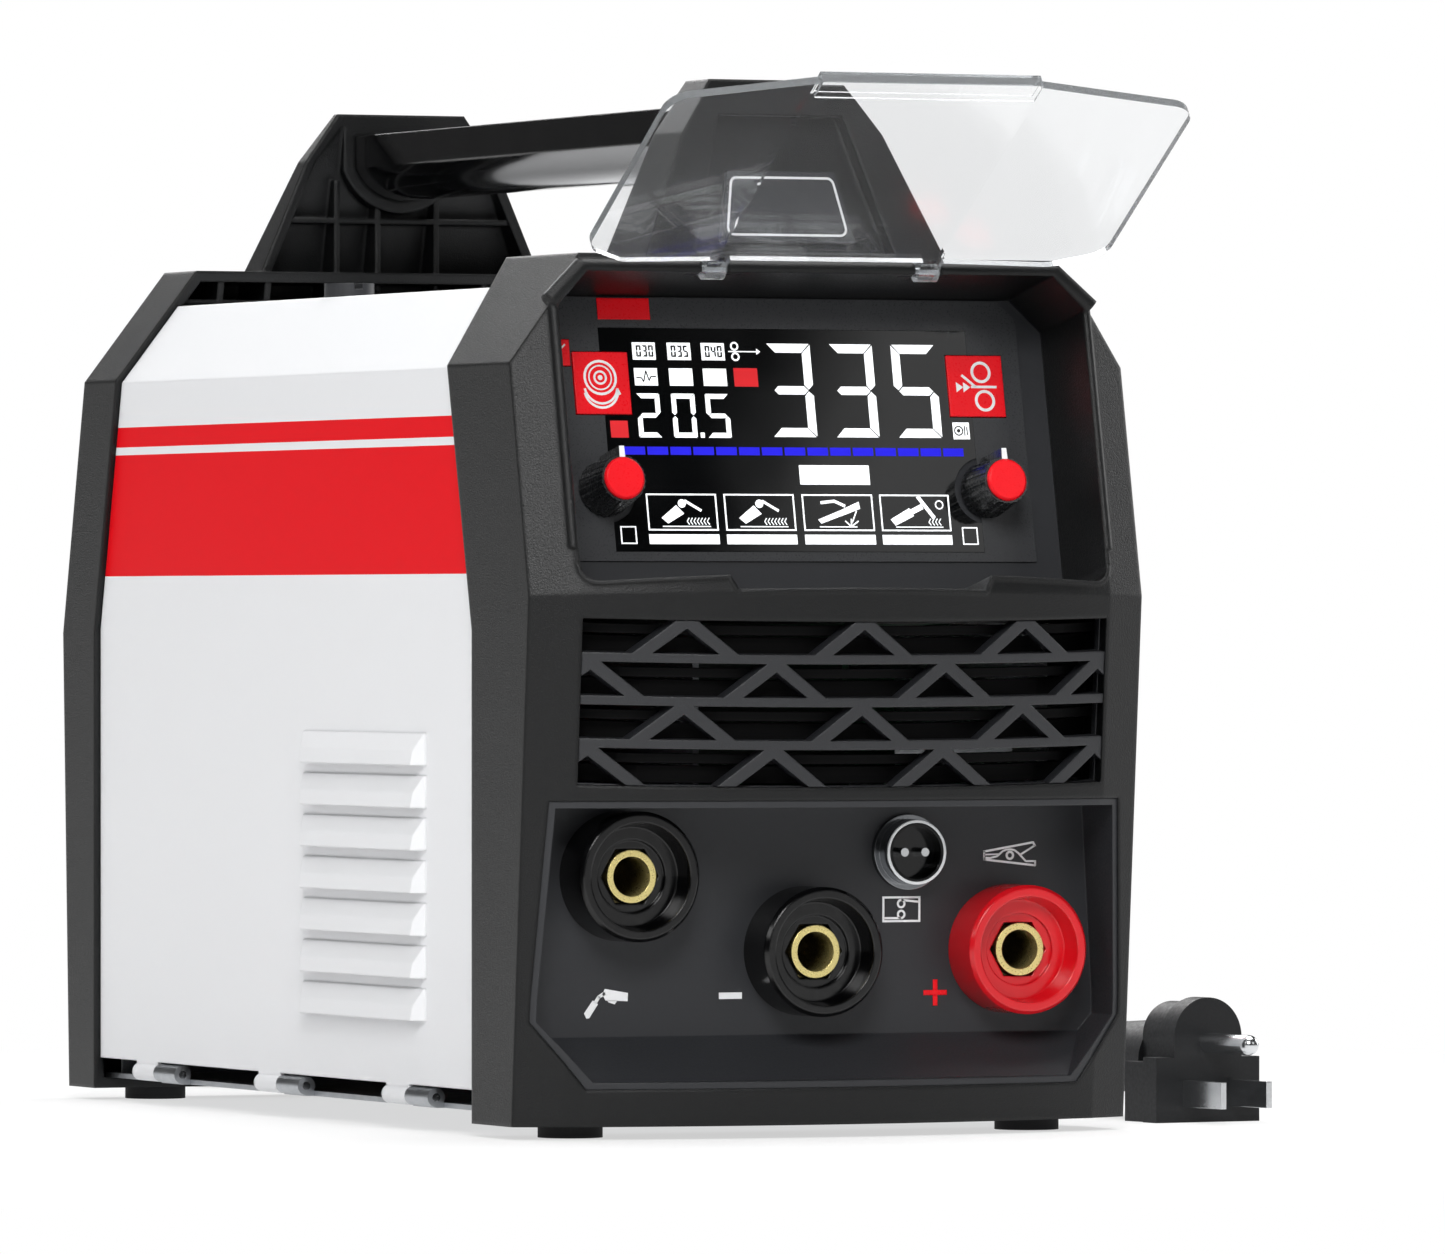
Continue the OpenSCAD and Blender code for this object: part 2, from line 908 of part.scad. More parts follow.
module badge_plate() {
    color("#9a9da1")
        intersection() {
            along(-half_d, front_tower_back)
                polygon([[-17.2, body_h + 4], [17.2, body_h + 4], [13.7, body_h + 20.7], [-13.7, body_h + 20.7]]);
            across(-50, 50)
                front_tower_side(3.5, 5);
        }
}

// ---- visor ----

module in_visor() {
    translate([0, visor_y, visor_z])
        rotate([-visor_open, 0, 0])
            children();
}

module visor() {
    wing = visor_w / 2;
    drop = (wing - 28) * tan(8);
    h = visor_t / 2;
    color("#c9d6dc", 0.5)
        in_visor()
            difference() {
                union() {
                    intersection() {
                        along(-visor_l - 2, 0)
                            polygon([[-28, h], [28, h], [wing, h - drop], [wing, -h - drop], [28, -h], [-28, -h],
                                [-wing, -h - drop], [-wing, h - drop]]);
                        translate([0, 0, -20])
                            linear_extrude(40)
                                polygon([[-29, -5], [29, -5], [54, -9], [wing, -16], [wing, -visor_l + 3],
                                    [wing - 3, -visor_l], [-wing + 3, -visor_l], [-wing, -visor_l + 3], [-wing, -16],
                                    [-54, -9]]);
                    }
                    block([-27.5, -visor_l - 1.5, -1.6], [27.5, -visor_l + 4.5, 1.4]);
                    for (m = [-1, 1]) {
                        bar_x(0, 0, m * knuckle_x - 2.6, m * knuckle_x + 2.6, 2.4);
                        block([m * knuckle_x - 2.6, -7, -1], [m * knuckle_x + 2.6, 0, 1]);
                    }
                }
                for (m = [-1, 1])
                    bar_x(0, 0, m * knuckle_x - 6, m * knuckle_x + 6, 0.9 + fit);
            }
}

module visor_pins() {
    color("#8d9094")
        for (m = [-1, 1])
            bar_x(visor_y, visor_z, m * knuckle_x - 7, m * knuckle_x + 7, 0.9);
}

// ---- control panel ----

key_left = [[-53.9, 46.6], [-40.1, 61.3]];
key_right = [[41.1, 46.6], [55.3, 61.2]];
key_small = [[-60.5, 58], [-54.5, 64.2]];
knob_v = 28.9;

module key_hole(k, g) {
    translate(k[0] - [g, g])
        square(k[1] - k[0] + [2 * g, 2 * g]);
}

module key_holes(g) {
    key_hole(key_left, g);
    key_hole(key_right, g);
    key_hole(key_small, g);
}

module knob_holes(r) {
    for (m = [-1, 1])
        translate([m * knob_gap / 2, knob_v])
            circle(r);
}

module panel_plate() {
    color("#3a3b3f")
        on_face() {
            along(panel_d + 0.5, panel_d + 2.1)
                difference() {
                    ctl_opening(1.8);
                    key_holes(slip);
                    knob_holes(3.7);
                    translate([-39.7, 15.8])
                        square([79.4, 50.4]);
                }
            for (x = [-60, 60], v = [9, 68.4])
                along(panel_d + 2.1, panel_d + 6)
                    translate([x, v])
                        circle(2.4);
        }
}

module window_shape(g) {
    difference() {
        translate([-window_w / 2 - g, 14.3 - g])
            square([window_w + 2 * g, 52.8 + 2 * g]);
        if (g == 0)
            key_holes(slip);
    }
}

module panel_overlay() {
    color("#55565a")
        on_face()
            along(panel_d, panel_d + 0.5)
                difference() {
                    polygon([[-60, 12], [60, 12], [60, 70], [55.5, 74.4], [-55.5, 74.4], [-60, 70]]);
                    window_shape(0.1);
                    key_holes(slip);
                    knob_holes(4.2);
                }
}

module display_window() {
    color("#101114")
        on_face()
            along(panel_d - 0.1, panel_d + 0.5)
                difference() {
                    window_shape(0);
                    knob_holes(8);
                }
}

module control_board() {
    color("#1d5b35")
        on_face() {
            block([-62, panel_d + 6, 4], [62, panel_d + 7.6, 71]);
            for (x = [-20, 20])
                block([x - 8, panel_d + 7.6, 20], [x + 8, panel_d + 10, 36]);
        }
    // display and key switches
    color("#1b1d22")
        on_face() {
            block([-39.5, panel_d + 0.6, 16], [39.5, panel_d + 6, 66]);
            for (k = [key_left, key_right, key_small]) {
                c = (k[0] + k[1]) / 2;
                translate([c[0], 0, c[1]])
                    block([-2.2, panel_d + 4.4, -2.2], [2.2, panel_d + 6, 2.2]);
            }
        }
    // encoders of the knobs
    color("#a9acb0")
        on_face()
            for (m = [-1, 1])
                difference() {
                    union() {
                        translate([m * knob_gap / 2, 0, knob_v])
                            block([-6, panel_d + 2.3, -6], [6, panel_d + 6, 6]);
                        bar_y(m * knob_gap / 2, knob_v, panel_d - 1.5, panel_d + 3, 3.5);
                    }
                    bar_y(m * knob_gap / 2, knob_v, panel_d - 2, panel_d + 5.2, 2.5 + fit);
                }
}

module key(k) {
    c = (k[0] + k[1]) / 2;
    color("#c5202b")
        on_face() {
            along(panel_d - 0.4, panel_d + 2.4)
                key_hole(k, 0);
            // edges held behind the plate, above and below
            along(panel_d + 2.4, panel_d + 3.2)
                translate(k[0] - [0, 0.8])
                    square(k[1] - k[0] + [0, 1.6]);
            bar_y(c[0], c[1], panel_d + 3.2, panel_d + 4.4 - key_travel - 0.05, 1.4);
        }
}

module key_spool() {
    key(key_left);
}

module key_feed() {
    key(key_right);
}

module key_mode() {
    key(key_small);
}

// a fluted cone with a pointer fin, and a seat for its cap
module knob(m) {
    foot = knob_dia / 2;
    nose = foot - 1.1;
    y0 = panel_d - knob_h + 1;
    y1 = panel_d - 0.4;
    lean = atan((foot - nose) / (y1 - y0));
    color("#1a1a1c")
        on_face()
            translate([m * knob_gap / 2, 0, knob_v])
                difference() {
                    union() {
                        bar_y(0, 0, y0, y1, nose, foot);
                        bar_y(0, 0, panel_d - 4, panel_d + 4.6, 2.5);
                        across(-0.7, 0.7)
                            polygon([[y0 - 0.1, 3], [y0 - 0.1, nose + 2.2], [y1 - 0.1, foot + 1], [y1 - 0.1, 3]]);
                    }
                    for (a = [15 : 15 : 345])
                        rotate([0, a, 0])
                            translate([0, y0 - 1, nose + 0.35])
                                rotate([lean - 90, 0, 0])
                                    cylinder(h = knob_h + 2, r = 0.6);
                    difference() {
                        bar_y(0, 0, panel_d - 3, panel_d, 4.2);
                        bar_y(0, 0, panel_d - 4, panel_d + 1, 2.5);
                    }
                    bar_y(0, 0, y0 - 1, y0 + 1.2, cap_r);
                }
}

cap_r = 4.95;

module knob_cap(m) {
    y0 = panel_d - knob_h;
    color("#c5202b")
        on_face()
            translate([m * knob_gap / 2, 0, knob_v]) {
                bar_y(0, 0, y0, y0 + 0.5, cap_r - 0.5, cap_r);
                bar_y(0, 0, y0 + 0.5, y0 + 2.2, cap_r);
            }
}

module knob_left() {
    knob(-1);
}

module knob_left_cap() {
    knob_cap(-1);
}

module knob_right() {
    knob(1);
}

module knob_right_cap() {
    knob_cap(1);
}

// ---- sockets ----

socket_y = -half_d + socket_panel_set;
line_x = -47.4; // place of the wire in its bay
torch_at = [line_x + bay_x, wire_z];
minus_at = [-1.1, 42.3];
plus_at = [half_w - 26.5, 42.3];
pilot_at = [25.2, 65];

module socket_panel() {
    color("#303135")
        difference() {
            intersection() {
                front_mass(0.3);
                along(-half_d - 20, socket_y + 2.4)
                    sock_opening(0);
                across(-90, 90)
                    polygon([[-half_d - 30, 0], [-half_d + 3, 10], [socket_y + 2.4, 20.4], [socket_y + 2.4, 90],
                        [-half_d - 30, 90]]);
            }
            intersection() {
                along(-half_d - 30, socket_y)
                    sock_opening(1.6);
                across(-90, 90)
                    polygon([[-half_d - 40, 13.1], [-half_d + 4, 13.1], [socket_y, 23], [socket_y, 90],
                        [-half_d - 40, 90]]);
            }
            for (p = [torch_at, minus_at, plus_at])
                bar_y(p[0], p[1], socket_y - 1, socket_y + 10, 8.9);
            bar_y(pilot_at[0], pilot_at[1], socket_y - 1, socket_y + 10, 7.5);
        }
}

tube_r = socket_bore / 2 + 1.5;
tube_y = socket_y - socket_out + 5.4;

// insulating collar with a stepped mouth and a six-sided well round the brass
module collar(p) {
    y = socket_y - socket_out;
    difference() {
        union() {
            bar_y(p[0], p[1], y + 1, socket_y, socket_dia / 2);
            bar_y(p[0], p[1], y, y + 1, socket_dia / 2 - 0.8, socket_dia / 2);
            bar_y(p[0], p[1], socket_y, socket_y + 5, 8.9);
        }
        bar_y(p[0], p[1], y - 0.5, tube_y, 12.5, 11.5);
        bar_y(p[0], p[1], tube_y - 0.5, tube_y + 1, 8.4);
        translate([p[0], tube_y + 5, p[1]])
            rotate([90, 0, 0])
                cylinder(h = 5.5, r = 7.2, $fn = 6);
        bar_y(p[0], p[1], y, socket_y + 6, tube_r);
    }
}

module black_collars() {
    color("#1b1b1d") {
        collar(torch_at);
        collar(minus_at);
    }
}

module red_collar() {
    color("#b8202a")
        collar(plus_at);
}

// brass socket with the hexagon in its well and the rear nut
module brass_socket(p, through) {
    color("#c79a4b")
        difference() {
            union() {
                bar_y(p[0], p[1], tube_y, socket_y + 16, tube_r);
                translate([p[0], tube_y + 5, p[1]])
                    rotate([90, 0, 0])
                        cylinder(h = 1.8, r = 7.1, $fn = 6);
                translate([p[0], socket_y + 11, p[1]])
                    rotate([90, 0, 0])
                        cylinder(h = 6, r = 9.5, $fn = 6);
            }
            bar_y(p[0], p[1], tube_y - 1, tube_y + socket_deep, socket_bore / 2);
            if (through)
                bar_y(p[0], p[1], tube_y, socket_y + 17, 0.9);
        }
}

socket_deep = 21;

module torch_socket() {
    brass_socket(torch_at, true);
}

module minus_socket() {
    brass_socket(minus_at, false);
}

module plus_socket() {
    brass_socket(plus_at, false);
}

module control_socket() {
    color("#b4b7bb")
        difference() {
            union() {
                bar_y(pilot_at[0], pilot_at[1], socket_y - 6, socket_y + 8, 7.5);
                bar_y(pilot_at[0], pilot_at[1], socket_y - 1.6, socket_y, 8.8);
                translate([pilot_at[0], socket_y + 5, pilot_at[1]])
                    rotate([90, 0, 0])
                        cylinder(h = 2.6, r = 10, $fn = 6);
            }
            bar_y(pilot_at[0], pilot_at[1], socket_y - 7, socket_y + 9, 6.2);
        }
}

module control_pins() {
    color("#232326")
        bar_y(pilot_at[0], pilot_at[1], socket_y - 2, socket_y + 8, 6.2);
    color("#c79a4b")
        for (m = [-1, 1])
            bar_y(pilot_at[0] + m * 2.6, pilot_at[1], socket_y - 5, socket_y - 1.9, 1);
}

// ---- wire bay ----

bulk_x0 = -14.8;
bulk_x1 = -13.3;
pan_top = pan_z + 1.2;
spool_at = [62, 100];
spool_x0 = -62;
roll_y = -24;
drive_r = drive_dia / 2;
drive_z = wire_z - drive_r;
idler_r = idler_dia / 2;
idler_z = wire_z + 0.7 + idler_r;
roll_x0 = -52.4;
roll_x1 = -42.4;
arm_at = [0, 78];
lever_at = [-50, 72];

module bulkhead() {
    color("#a8abaf")
        difference() {
            union() {
                block([bulk_x0, front_seam_y + 16, pan_top], [bulk_x1, rear_panel_y, sheet_top - 10]);
                block([bulk_x1 - 0.1, rear_panel_y - 1.2, 60], [bulk_x1 + 8, rear_panel_y, 64]);
            }
            bar_x(roll_y, drive_z, -20, -10, 4.6);
        }
}

module main_board() {
    x = half_w - 47.5;
    top = sheet_top - 28;
    color("#1d5b35") {
        block([x, -84, 72], [x + 1.6, 72, top]);
        for (y = [-78, 66], z = [78, top - 6])
            bar_x(y, z, bulk_x1 + bay_x, x, 3);
    }
    color("#26324a")
        for (y = [-60, -32, -4])
            bar_x(y, top - 40, x + 1.6, x + 36, 12);
    color("#3a3a3c")
        for (y = [-70, -30, 10])
            block([x + 1.6, y, 84], [x + 20, y + 22, 106]);
}

module heat_sink() {
    top = sheet_top - 36;
    color("#b9bcc0") {
        block([bulk_x1, -58, 80], [bulk_x1 + 4, 58, top]);
        for (z = [81 : 9.6 : top - 1.6])
            block([bulk_x1 + 3.9, -58, z], [bulk_x1 + 26, 58, z + 1.6]);
    }
}

module transformer() {
    x = half_w - 71.5;
    color("#4a4b4f")
        difference() {
            block([x, 4, pan_top], [x + 56, 54, 60]);
            block([x + 14, 0, 20], [x + 24, 60, 48]);
            block([x + 32, 0, 20], [x + 42, 60, 48]);
        }
    color("#a8642c")
        difference() {
            block([x + 14.2, -4, 20.2], [x + 41.8, 62, 47.8]);
            block([x + 23.8, -6, 19], [x + 32.2, 64, 49]);
        }
}

module feed_motor() {
    color("#8d9094")
        difference() {
            bar_x(roll_y, drive_z, bulk_x1, bulk_x1 + 55, 18.5);
            bar_x(roll_y, drive_z, bulk_x1 - 1, bulk_x1 + 14, 4 + fit);
        }
}

module feed_block() {
    color("#2a2b2e")
        difference() {
            union() {
                // plate and its foot on the bulkhead
                block([-38, -56, 30], [-31, 6, 68]);
                block([-38, -12, 66], [-31, 6, 84]);
                block([-38, -56, 66], [-31, -44, 79]);
                block([-31.1, -48, 32], [bulk_x0, -2, 62]);
                // guides of the wire
                block([-52, 2, wire_z - 4], [-37.9, 10, wire_z + 4]);
                block([-52, -54, wire_z - 4], [-37.9, -43, wire_z + 4]);
                // pivots of the arm and of the lever
                bar_x(arm_at[0], arm_at[1], -43.4, -37.9, 2.5);
                bar_x(lever_at[0], lever_at[1], -52, -37.9, 2);
            }
            bar_x(roll_y, drive_z, -60, 0, 4 + fit);
            bar_y(line_x, wire_z, -60, 20, 0.75);
        }
}

module drive_roll() {
    color("#9a9da1")
        difference() {
            union() {
                bar_x(roll_y, drive_z, roll_x0, roll_x1, drive_r);
                bar_x(roll_y, drive_z, roll_x0 - 4, bulk_x1 + 13, 4);
                bar_x(roll_y, drive_z, roll_x0 - 4, roll_x0, 7);
            }
            translate([line_x, roll_y, drive_z])
                rotate([0, 90, 0])
                    rotate_extrude()
                        polygon([[drive_r - 0.8, -0.5], [drive_r + 1, -1.6], [drive_r + 1, 1.6],
                            [drive_r - 0.8, 0.5]]);
            for (a = [0, 120, 240])
                translate([0, roll_y, drive_z])
                    rotate([a, 0, 0])
                        bar_x(5.6, 0, roll_x0 - 5, roll_x0 - 3, 0.9);
        }
}

module pressure_arm() {
    color("#5a5c61")
        difference() {
            union() {
                across(-41.6, -38.3)
                    union() {
                        translate([arm_at[0], arm_at[1]])
                            circle(6);
                        translate([roll_y, idler_z])
                            circle(6);
                        polygon([[arm_at[0], arm_at[1] + 6], [arm_at[0], arm_at[1] - 6], [roll_y, idler_z - 6],
                            [-38, 74], [-46, 77], [-46, 81], [-38, 82], [roll_y, 86]]);
                    }
                block([-52, -46, 77], [-38.3, -41, 81]);
                bar_x(roll_y, idler_z, roll_x0 - 1, -41.5, 3);
            }
            bar_x(arm_at[0], arm_at[1], -60, -30, 2.5 + fit);
        }
}

module pressure_roll() {
    color("#9a9da1")
        difference() {
            bar_x(roll_y, idler_z, roll_x0, roll_x1, idler_r);
            bar_x(roll_y, idler_z, -60, -30, 3 + fit);
            translate([0, roll_y, idler_z])
                for (a = [0 : 60 : 300])
                    rotate([a, 0, 0])
                        bar_x(7, 0, roll_x0 - 1, roll_x0 + 1.5, 1.3);
        }
}

lever_tip = 70;

module tension_lever() {
    translate([-47, lever_at[0], lever_at[1]])
        rotate([lever_tip, 0, 0]) {
            color("#8d9094")
                difference() {
                    union() {
                        rotate([0, 90, 0])
                            translate([0, 0, -3])
                                cylinder(h = 6, r = 4);
                        cylinder(h = 36, r = 2.2);
                        translate([0, 0, 9.4])
                            cylinder(h = 2, r = 5);
                        for (i = [0 : 5])
                            translate([0, 0, 12.2 + i * 1.9])
                                rotate_extrude($fn = 24)
                                    translate([3.2, 0])
                                        circle(0.6, $fn = 8);
                        translate([0, 0, 11.2])
                            cylinder(h = 11.5, r = 3.2);
                    }
                    rotate([0, 90, 0])
                        translate([0, 0, -4])
                            cylinder(h = 8, r = 2 + fit);
                }
            color("#b8202a")
                translate([0, 0, 22.8])
                    difference() {
                        cylinder(h = 14, r = 6);
                        for (a = [0 : 45 : 315])
                            rotate([0, 0, a])
                                translate([6.4, 0, -1])
                                    cylinder(h = 16, r = 1);
                        translate([0, 0, -1])
                            cylinder(h = 14.2, r = 2.2);
                    }
        }
}

module spool() {
    y = spool_at[0];
    z = spool_at[1];
    r = spool_dia / 2;
    color("#23242a")
        difference() {
            union() {
                bar_x(y, z, spool_x0, spool_x0 + 2.5, r);
                bar_x(y, z, spool_x0 + spool_w - 2.5, spool_x0 + spool_w, r);
                difference() {
                    bar_x(y, z, spool_x0, spool_x0 + spool_w, 27);
                    bar_x(y, z, spool_x0 - 1, spool_x0 + spool_w + 1, 25);
                }
                bar_x(y, z, spool_x0, spool_x0 + spool_w, spool_bore / 2 + 2);
                for (a = [0 : 60 : 300])
                    translate([0, y, z])
                        rotate([a, 0, 0])
                            block([spool_x0 + 1.2, 9, -1], [spool_x0 + spool_w - 1.2, 25.8, 1]);
            }
            bar_x(y, z, -80, 0, spool_bore / 2);
            for (a = [30 : 60 : 330])
                translate([0, y, z])
                    rotate([a, 0, 0])
                        bar_x(17.6, 0, -80, 0, 5);
            for (a = [45 : 90 : 315])
                translate([0, y, z])
                    rotate([a, 0, 0])
                        bar_x(38, 0, -80, 0, 6.5);
        }
}

wind_wire = 1.4;
wind_turns = 18;
wind_steps = 24;
wind_r = wound_dia / 2 - wind_wire / 2;
wind_x0 = spool_x0 + 2.5 + 1.4;
wind_pitch = (spool_w - 5 - 2.8) / wind_turns;

// a tube of given radius through a list of points with given side vectors
module tube(pts, side_a, side_b, r, n) {
    m = len(pts);
    polyhedron(
        points = [for (i = [0 : m - 1], k = [0 : n - 1])
            pts[i] + r * (cos(360 * k / n) * side_a[i] + sin(360 * k / n) * side_b[i])],
        faces = concat(
            [for (i = [0 : m - 2], k = [0 : n - 1])
                [i * n + k, i * n + (k + 1) % n, (i + 1) * n + (k + 1) % n]],
            [for (i = [0 : m - 2], k = [0 : n - 1])
                [i * n + k, (i + 1) * n + (k + 1) % n, (i + 1) * n + k]],
            [[for (k = [n - 1 : -1 : 0]) k]],
            [[for (k = [0 : n - 1]) (m - 1) * n + k]]));
}

function wind_point(i) = [wind_x0 + wind_pitch * i / wind_steps, spool_at[0] + wind_r * cos(360 * i / wind_steps),
    spool_at[1] + wind_r * sin(360 * i / wind_steps)];
wind_count = wind_turns * wind_steps;
echo(winding_gap_measured = min([for (i = [0 : wind_count - wind_steps])
    norm(wind_point(i + wind_steps) - wind_point(i))]) - wind_wire);

module wire_winding() {
    count = wind_count;
    pts = [for (i = [0 : count]) wind_point(i)];
    out = [for (i = [0 : count]) [0, cos(360 * i / wind_steps), sin(360 * i / wind_steps)]];
    flat = [for (i = [0 : count]) [1, 0, 0]];
    color("#a9683f") {
        difference() {
            bar_x(spool_at[0], spool_at[1], spool_x0 + 2.5, spool_x0 + spool_w - 2.5,
                (wind_r - wind_wire / 2) * cos(180 / wind_steps) - 0.02);
            bar_x(spool_at[0], spool_at[1], -80, 0, 27);
        }
        tube(pts, out, flat, wind_wire / 2, 6);
    }
}

module spindle() {
    y = spool_at[0];
    z = spool_at[1];
    color("#d0d1d3")
        difference() {
            union() {
                bar_x(y, z, bulk_x0 - 1.9, bulk_x0, 14);
                bar_x(y, z, spool_x0 - 0.3, bulk_x0, spool_bore / 2 - fit);
                bar_x(y, z, spool_x0 - 8, spool_x0, 5);
            }
            bar_x(y, z, spool_x0 - 9, spool_x0 - 2, 2.5);
        }
}

module spool_nut() {
    y = spool_at[0];
    z = spool_at[1];
    color("#26272a")
        difference() {
            bar_x(y, z, spool_x0 - 9.5, spool_x0 - 0.5, 14);
            bar_x(y, z, spool_x0 - 8.3, spool_x0, 5 + fit);
            for (a = [0 : 60 : 300])
                translate([0, y, z])
                    rotate([a, 0, 0])
                        bar_x(15.5, 0, spool_x0 - 10, spool_x0, 4);
        }
}

module wire_strand() {
    x = line_x;
    z1 = spool_at[1] - wound_dia / 2 - 0.6;
    color("#a9683f") {
        translate([x, 11, wire_z])
            rotate([90, 0, 0])
                cylinder(h = 11 - socket_y - 14, r = 0.45, $fn = 16);
        translate([x, 11, wire_z])
            rotate([-90 + atan((z1 - wire_z) / (spool_at[0] - 11)), 0, 0])
                cylinder(h = norm([z1 - wire_z, spool_at[0] - 11]), r = 0.45, $fn = 16);
    }
}

// ---- rear ----

fan_at = [half_w - 46.5, rear_top - 86];
switch_at = [half_w - 46.5, rear_top - 26];
gland_at = [half_w - 37.5, 34];
fan_r = fan_w / 2 - 1.8;

module rear_panel() {
    color("#a8abaf")
        difference() {
            intersection() {
                along(rear_panel_y, rear_panel_y + 1.2)
                    outline(5.2, pan_top, 188);
                block([-71.5, 0, 0], [71.5, half_d, 200]);
            }
            bar_y(fan_at[0], fan_at[1], rear_panel_y - 1, rear_panel_y + 3, fan_r);
            translate([switch_at[0], 0, switch_at[1]])
                block([-9, rear_panel_y - 1, -14], [9, rear_panel_y + 3, 14]);
            bar_y(gland_at[0], gland_at[1], rear_panel_y - 1, rear_panel_y + 3, 8);
        }
}

module fan_frame() {
    color("#1d1d1f")
        translate([fan_at[0], rear_panel_y - fan_t, fan_at[1]]) {
            difference() {
                block([-fan_w / 2, 0, -fan_w / 2], [fan_w / 2, fan_t, fan_w / 2]);
                bar_y(0, 0, -1, fan_t + 1, fan_r);
            }
            bar_y(0, 0, 0, 3, 13);
            for (a = [0, 90, 180, 270])
                rotate([0, a + 45, 0])
                    block([-1.2, 0.4, 12], [1.2, 2.6, fan_r + 0.5]);
            bar_y(0, 0, 2.9, fan_t - 3, 2);
        }
}

module fan_rotor() {
    color("#2a2b2e")
        translate([fan_at[0], rear_panel_y - fan_t, fan_at[1]])
            difference() {
                union() {
                    bar_y(0, 0, 3.6, fan_t - 1.5, 14);
                    for (a = [0 : 360 / 7 : 359])
                        rotate([0, a, 0])
                            translate([0, fan_t / 2 + 1, 0])
                                rotate([0, 0, 35])
                                    block([-10.5, -0.8, 12.5], [10.5, 0.8, fan_r - 3]);
                }
                bar_y(0, 0, 0, fan_t - 2.5, 2 + fit);
            }
}

module fan_guard() {
    y = rear_panel_y + 1.2;
    color("#8d9094")
        translate([fan_at[0], 0, fan_at[1]]) {
            for (r = [fan_r - 5.2 : -9 : 9])
                translate([0, y + 2.6, 0])
                    rotate([90, 0, 0])
                        rotate_extrude($fn = 40)
                            translate([r, 0])
                                circle(0.9, $fn = 8);
            for (a = [45, 135])
                rotate([0, a, 0])
                    translate([0, y + 1.5, 0])
                        block([-0.8, -0.7, -fan_r - 4], [0.8, 1, fan_r + 4]);
            for (a = [45, 135, 225, 315])
                rotate([0, a, 0])
                    bar_y(0, fan_r + 2.4, y, y + 2.2, 2.2);
        }
}

module switch_frame() {
    color("#1b1b1d")
        translate([switch_at[0], rear_panel_y + 1.2, switch_at[1]])
            difference() {
                union() {
                    block([-11, 0, -16.5], [11, 2, 16.5]);
                    block([-9, -22, -14], [9, 0.1, 14]);
                }
                block([-7.4, -8, -12.7], [7.4, 3, 12.7]);
                bar_x(-1.5, 0, -9.5, 9.5, 1.5 + fit);
            }
}

module power_rocker() {
    color("#b8202a")
        translate([switch_at[0], rear_panel_y + 1.2 - 1.5, switch_at[1]])
            rotate([-12, 0, 0]) {
                across(-7.2, 7.2)
                    polygon([[0, -3.5], [5.5, -11.2], [3.6, 0], [5.5, 11.2], [0, 3.5], [-2.6, 0]]);
                bar_x(0, 0, -8.9, 8.9, 1.5);
            }
}

gland_end = half_d + 10.5;

module cord_gland() {
    y = rear_panel_y + 1.2;
    color("#1b1b1d")
        translate([gland_at[0], 0, gland_at[1]]) {
            bar_y(0, 0, y - 12, y + 2, 8);
            translate([0, y + 8, 0])
                rotate([90, 0, 0])
                    cylinder(h = 8, r = 12, $fn = 6);
            translate([0, y - 1.2, 0])
                rotate([90, 0, 0])
                    cylinder(h = 5, r = 12, $fn = 6);
            bar_y(0, 0, y + 7.9, gland_end, 9.5, 6.4);
        }
}

// ---- mains lead ----

cord_r = cord_d / 2;
coil_pitch = cord_d + coil_gap;
coil_steps = 24;
coil_n = 78; // three and a quarter turns
coil_out = coil_r + coil_pitch * coil_n / coil_steps;
coil_at = [44, gland_end + coil_out - coil_pitch * 0.75 + cord_r + 1];

function coil_rad(i) = coil_r + coil_pitch * i / coil_steps;
function coil_ang(i) = 90 - 360 * i / coil_steps;
function coil_point(i) = [coil_at[0] + coil_rad(i) * cos(coil_ang(i)), coil_at[1] + coil_rad(i) * sin(coil_ang(i)),
    cord_r];
echo(coil_gap_measured = min([for (i = [0 : coil_n - coil_steps]) norm(coil_point(i + coil_steps) - coil_point(i))])
    - cord_d);

// hand-set route from the gland, over the outer turns and round into the coil
lead_in = [
    [gland_at[0], gland_end, gland_at[1]],
    [gland_at[0], gland_end + 12, gland_at[1] - 0.6],
    [gland_at[0] - 2, gland_end + 28, 27],
    [gland_at[0] - 9, gland_end + 47, 17.5],
    [gland_at[0] - 22, gland_end + 65, 9.5],
    [gland_at[0] - 32, gland_end + 83, cord_r],
    [coil_at[0] - 32.5, coil_at[1] + 21, cord_r],
    [coil_at[0] - 19, coil_at[1] + 36, cord_r],
    coil_point(0) - [6, 0.6, 0],
    coil_point(0) - [0.1, 0, 0]
];
// hand-set route from the coil along the machine's side to the plug
plug_turn = 6;
plug_axis = [sin(plug_turn), -cos(plug_turn), 0];
plug_at = [114.4, -107.3, 0];
plug_back = plug_at - 60 * plug_axis + [0, 0, 14.5];
lead_out = [
    coil_point(coil_n) - [0, 0.1, 0],
    coil_point(coil_n) - [0, 12, 0],
    coil_point(coil_n) - [6, 64, 0],
    [106, 110, cord_r],
    [103, 50, cord_r],
    [103, 5, cord_r + 1],
    plug_back - 22 * plug_axis - [0, 0, 4],
    plug_back - 7 * plug_axis - [0, 0, 0.3],
    plug_back - 0.15 * plug_axis
];

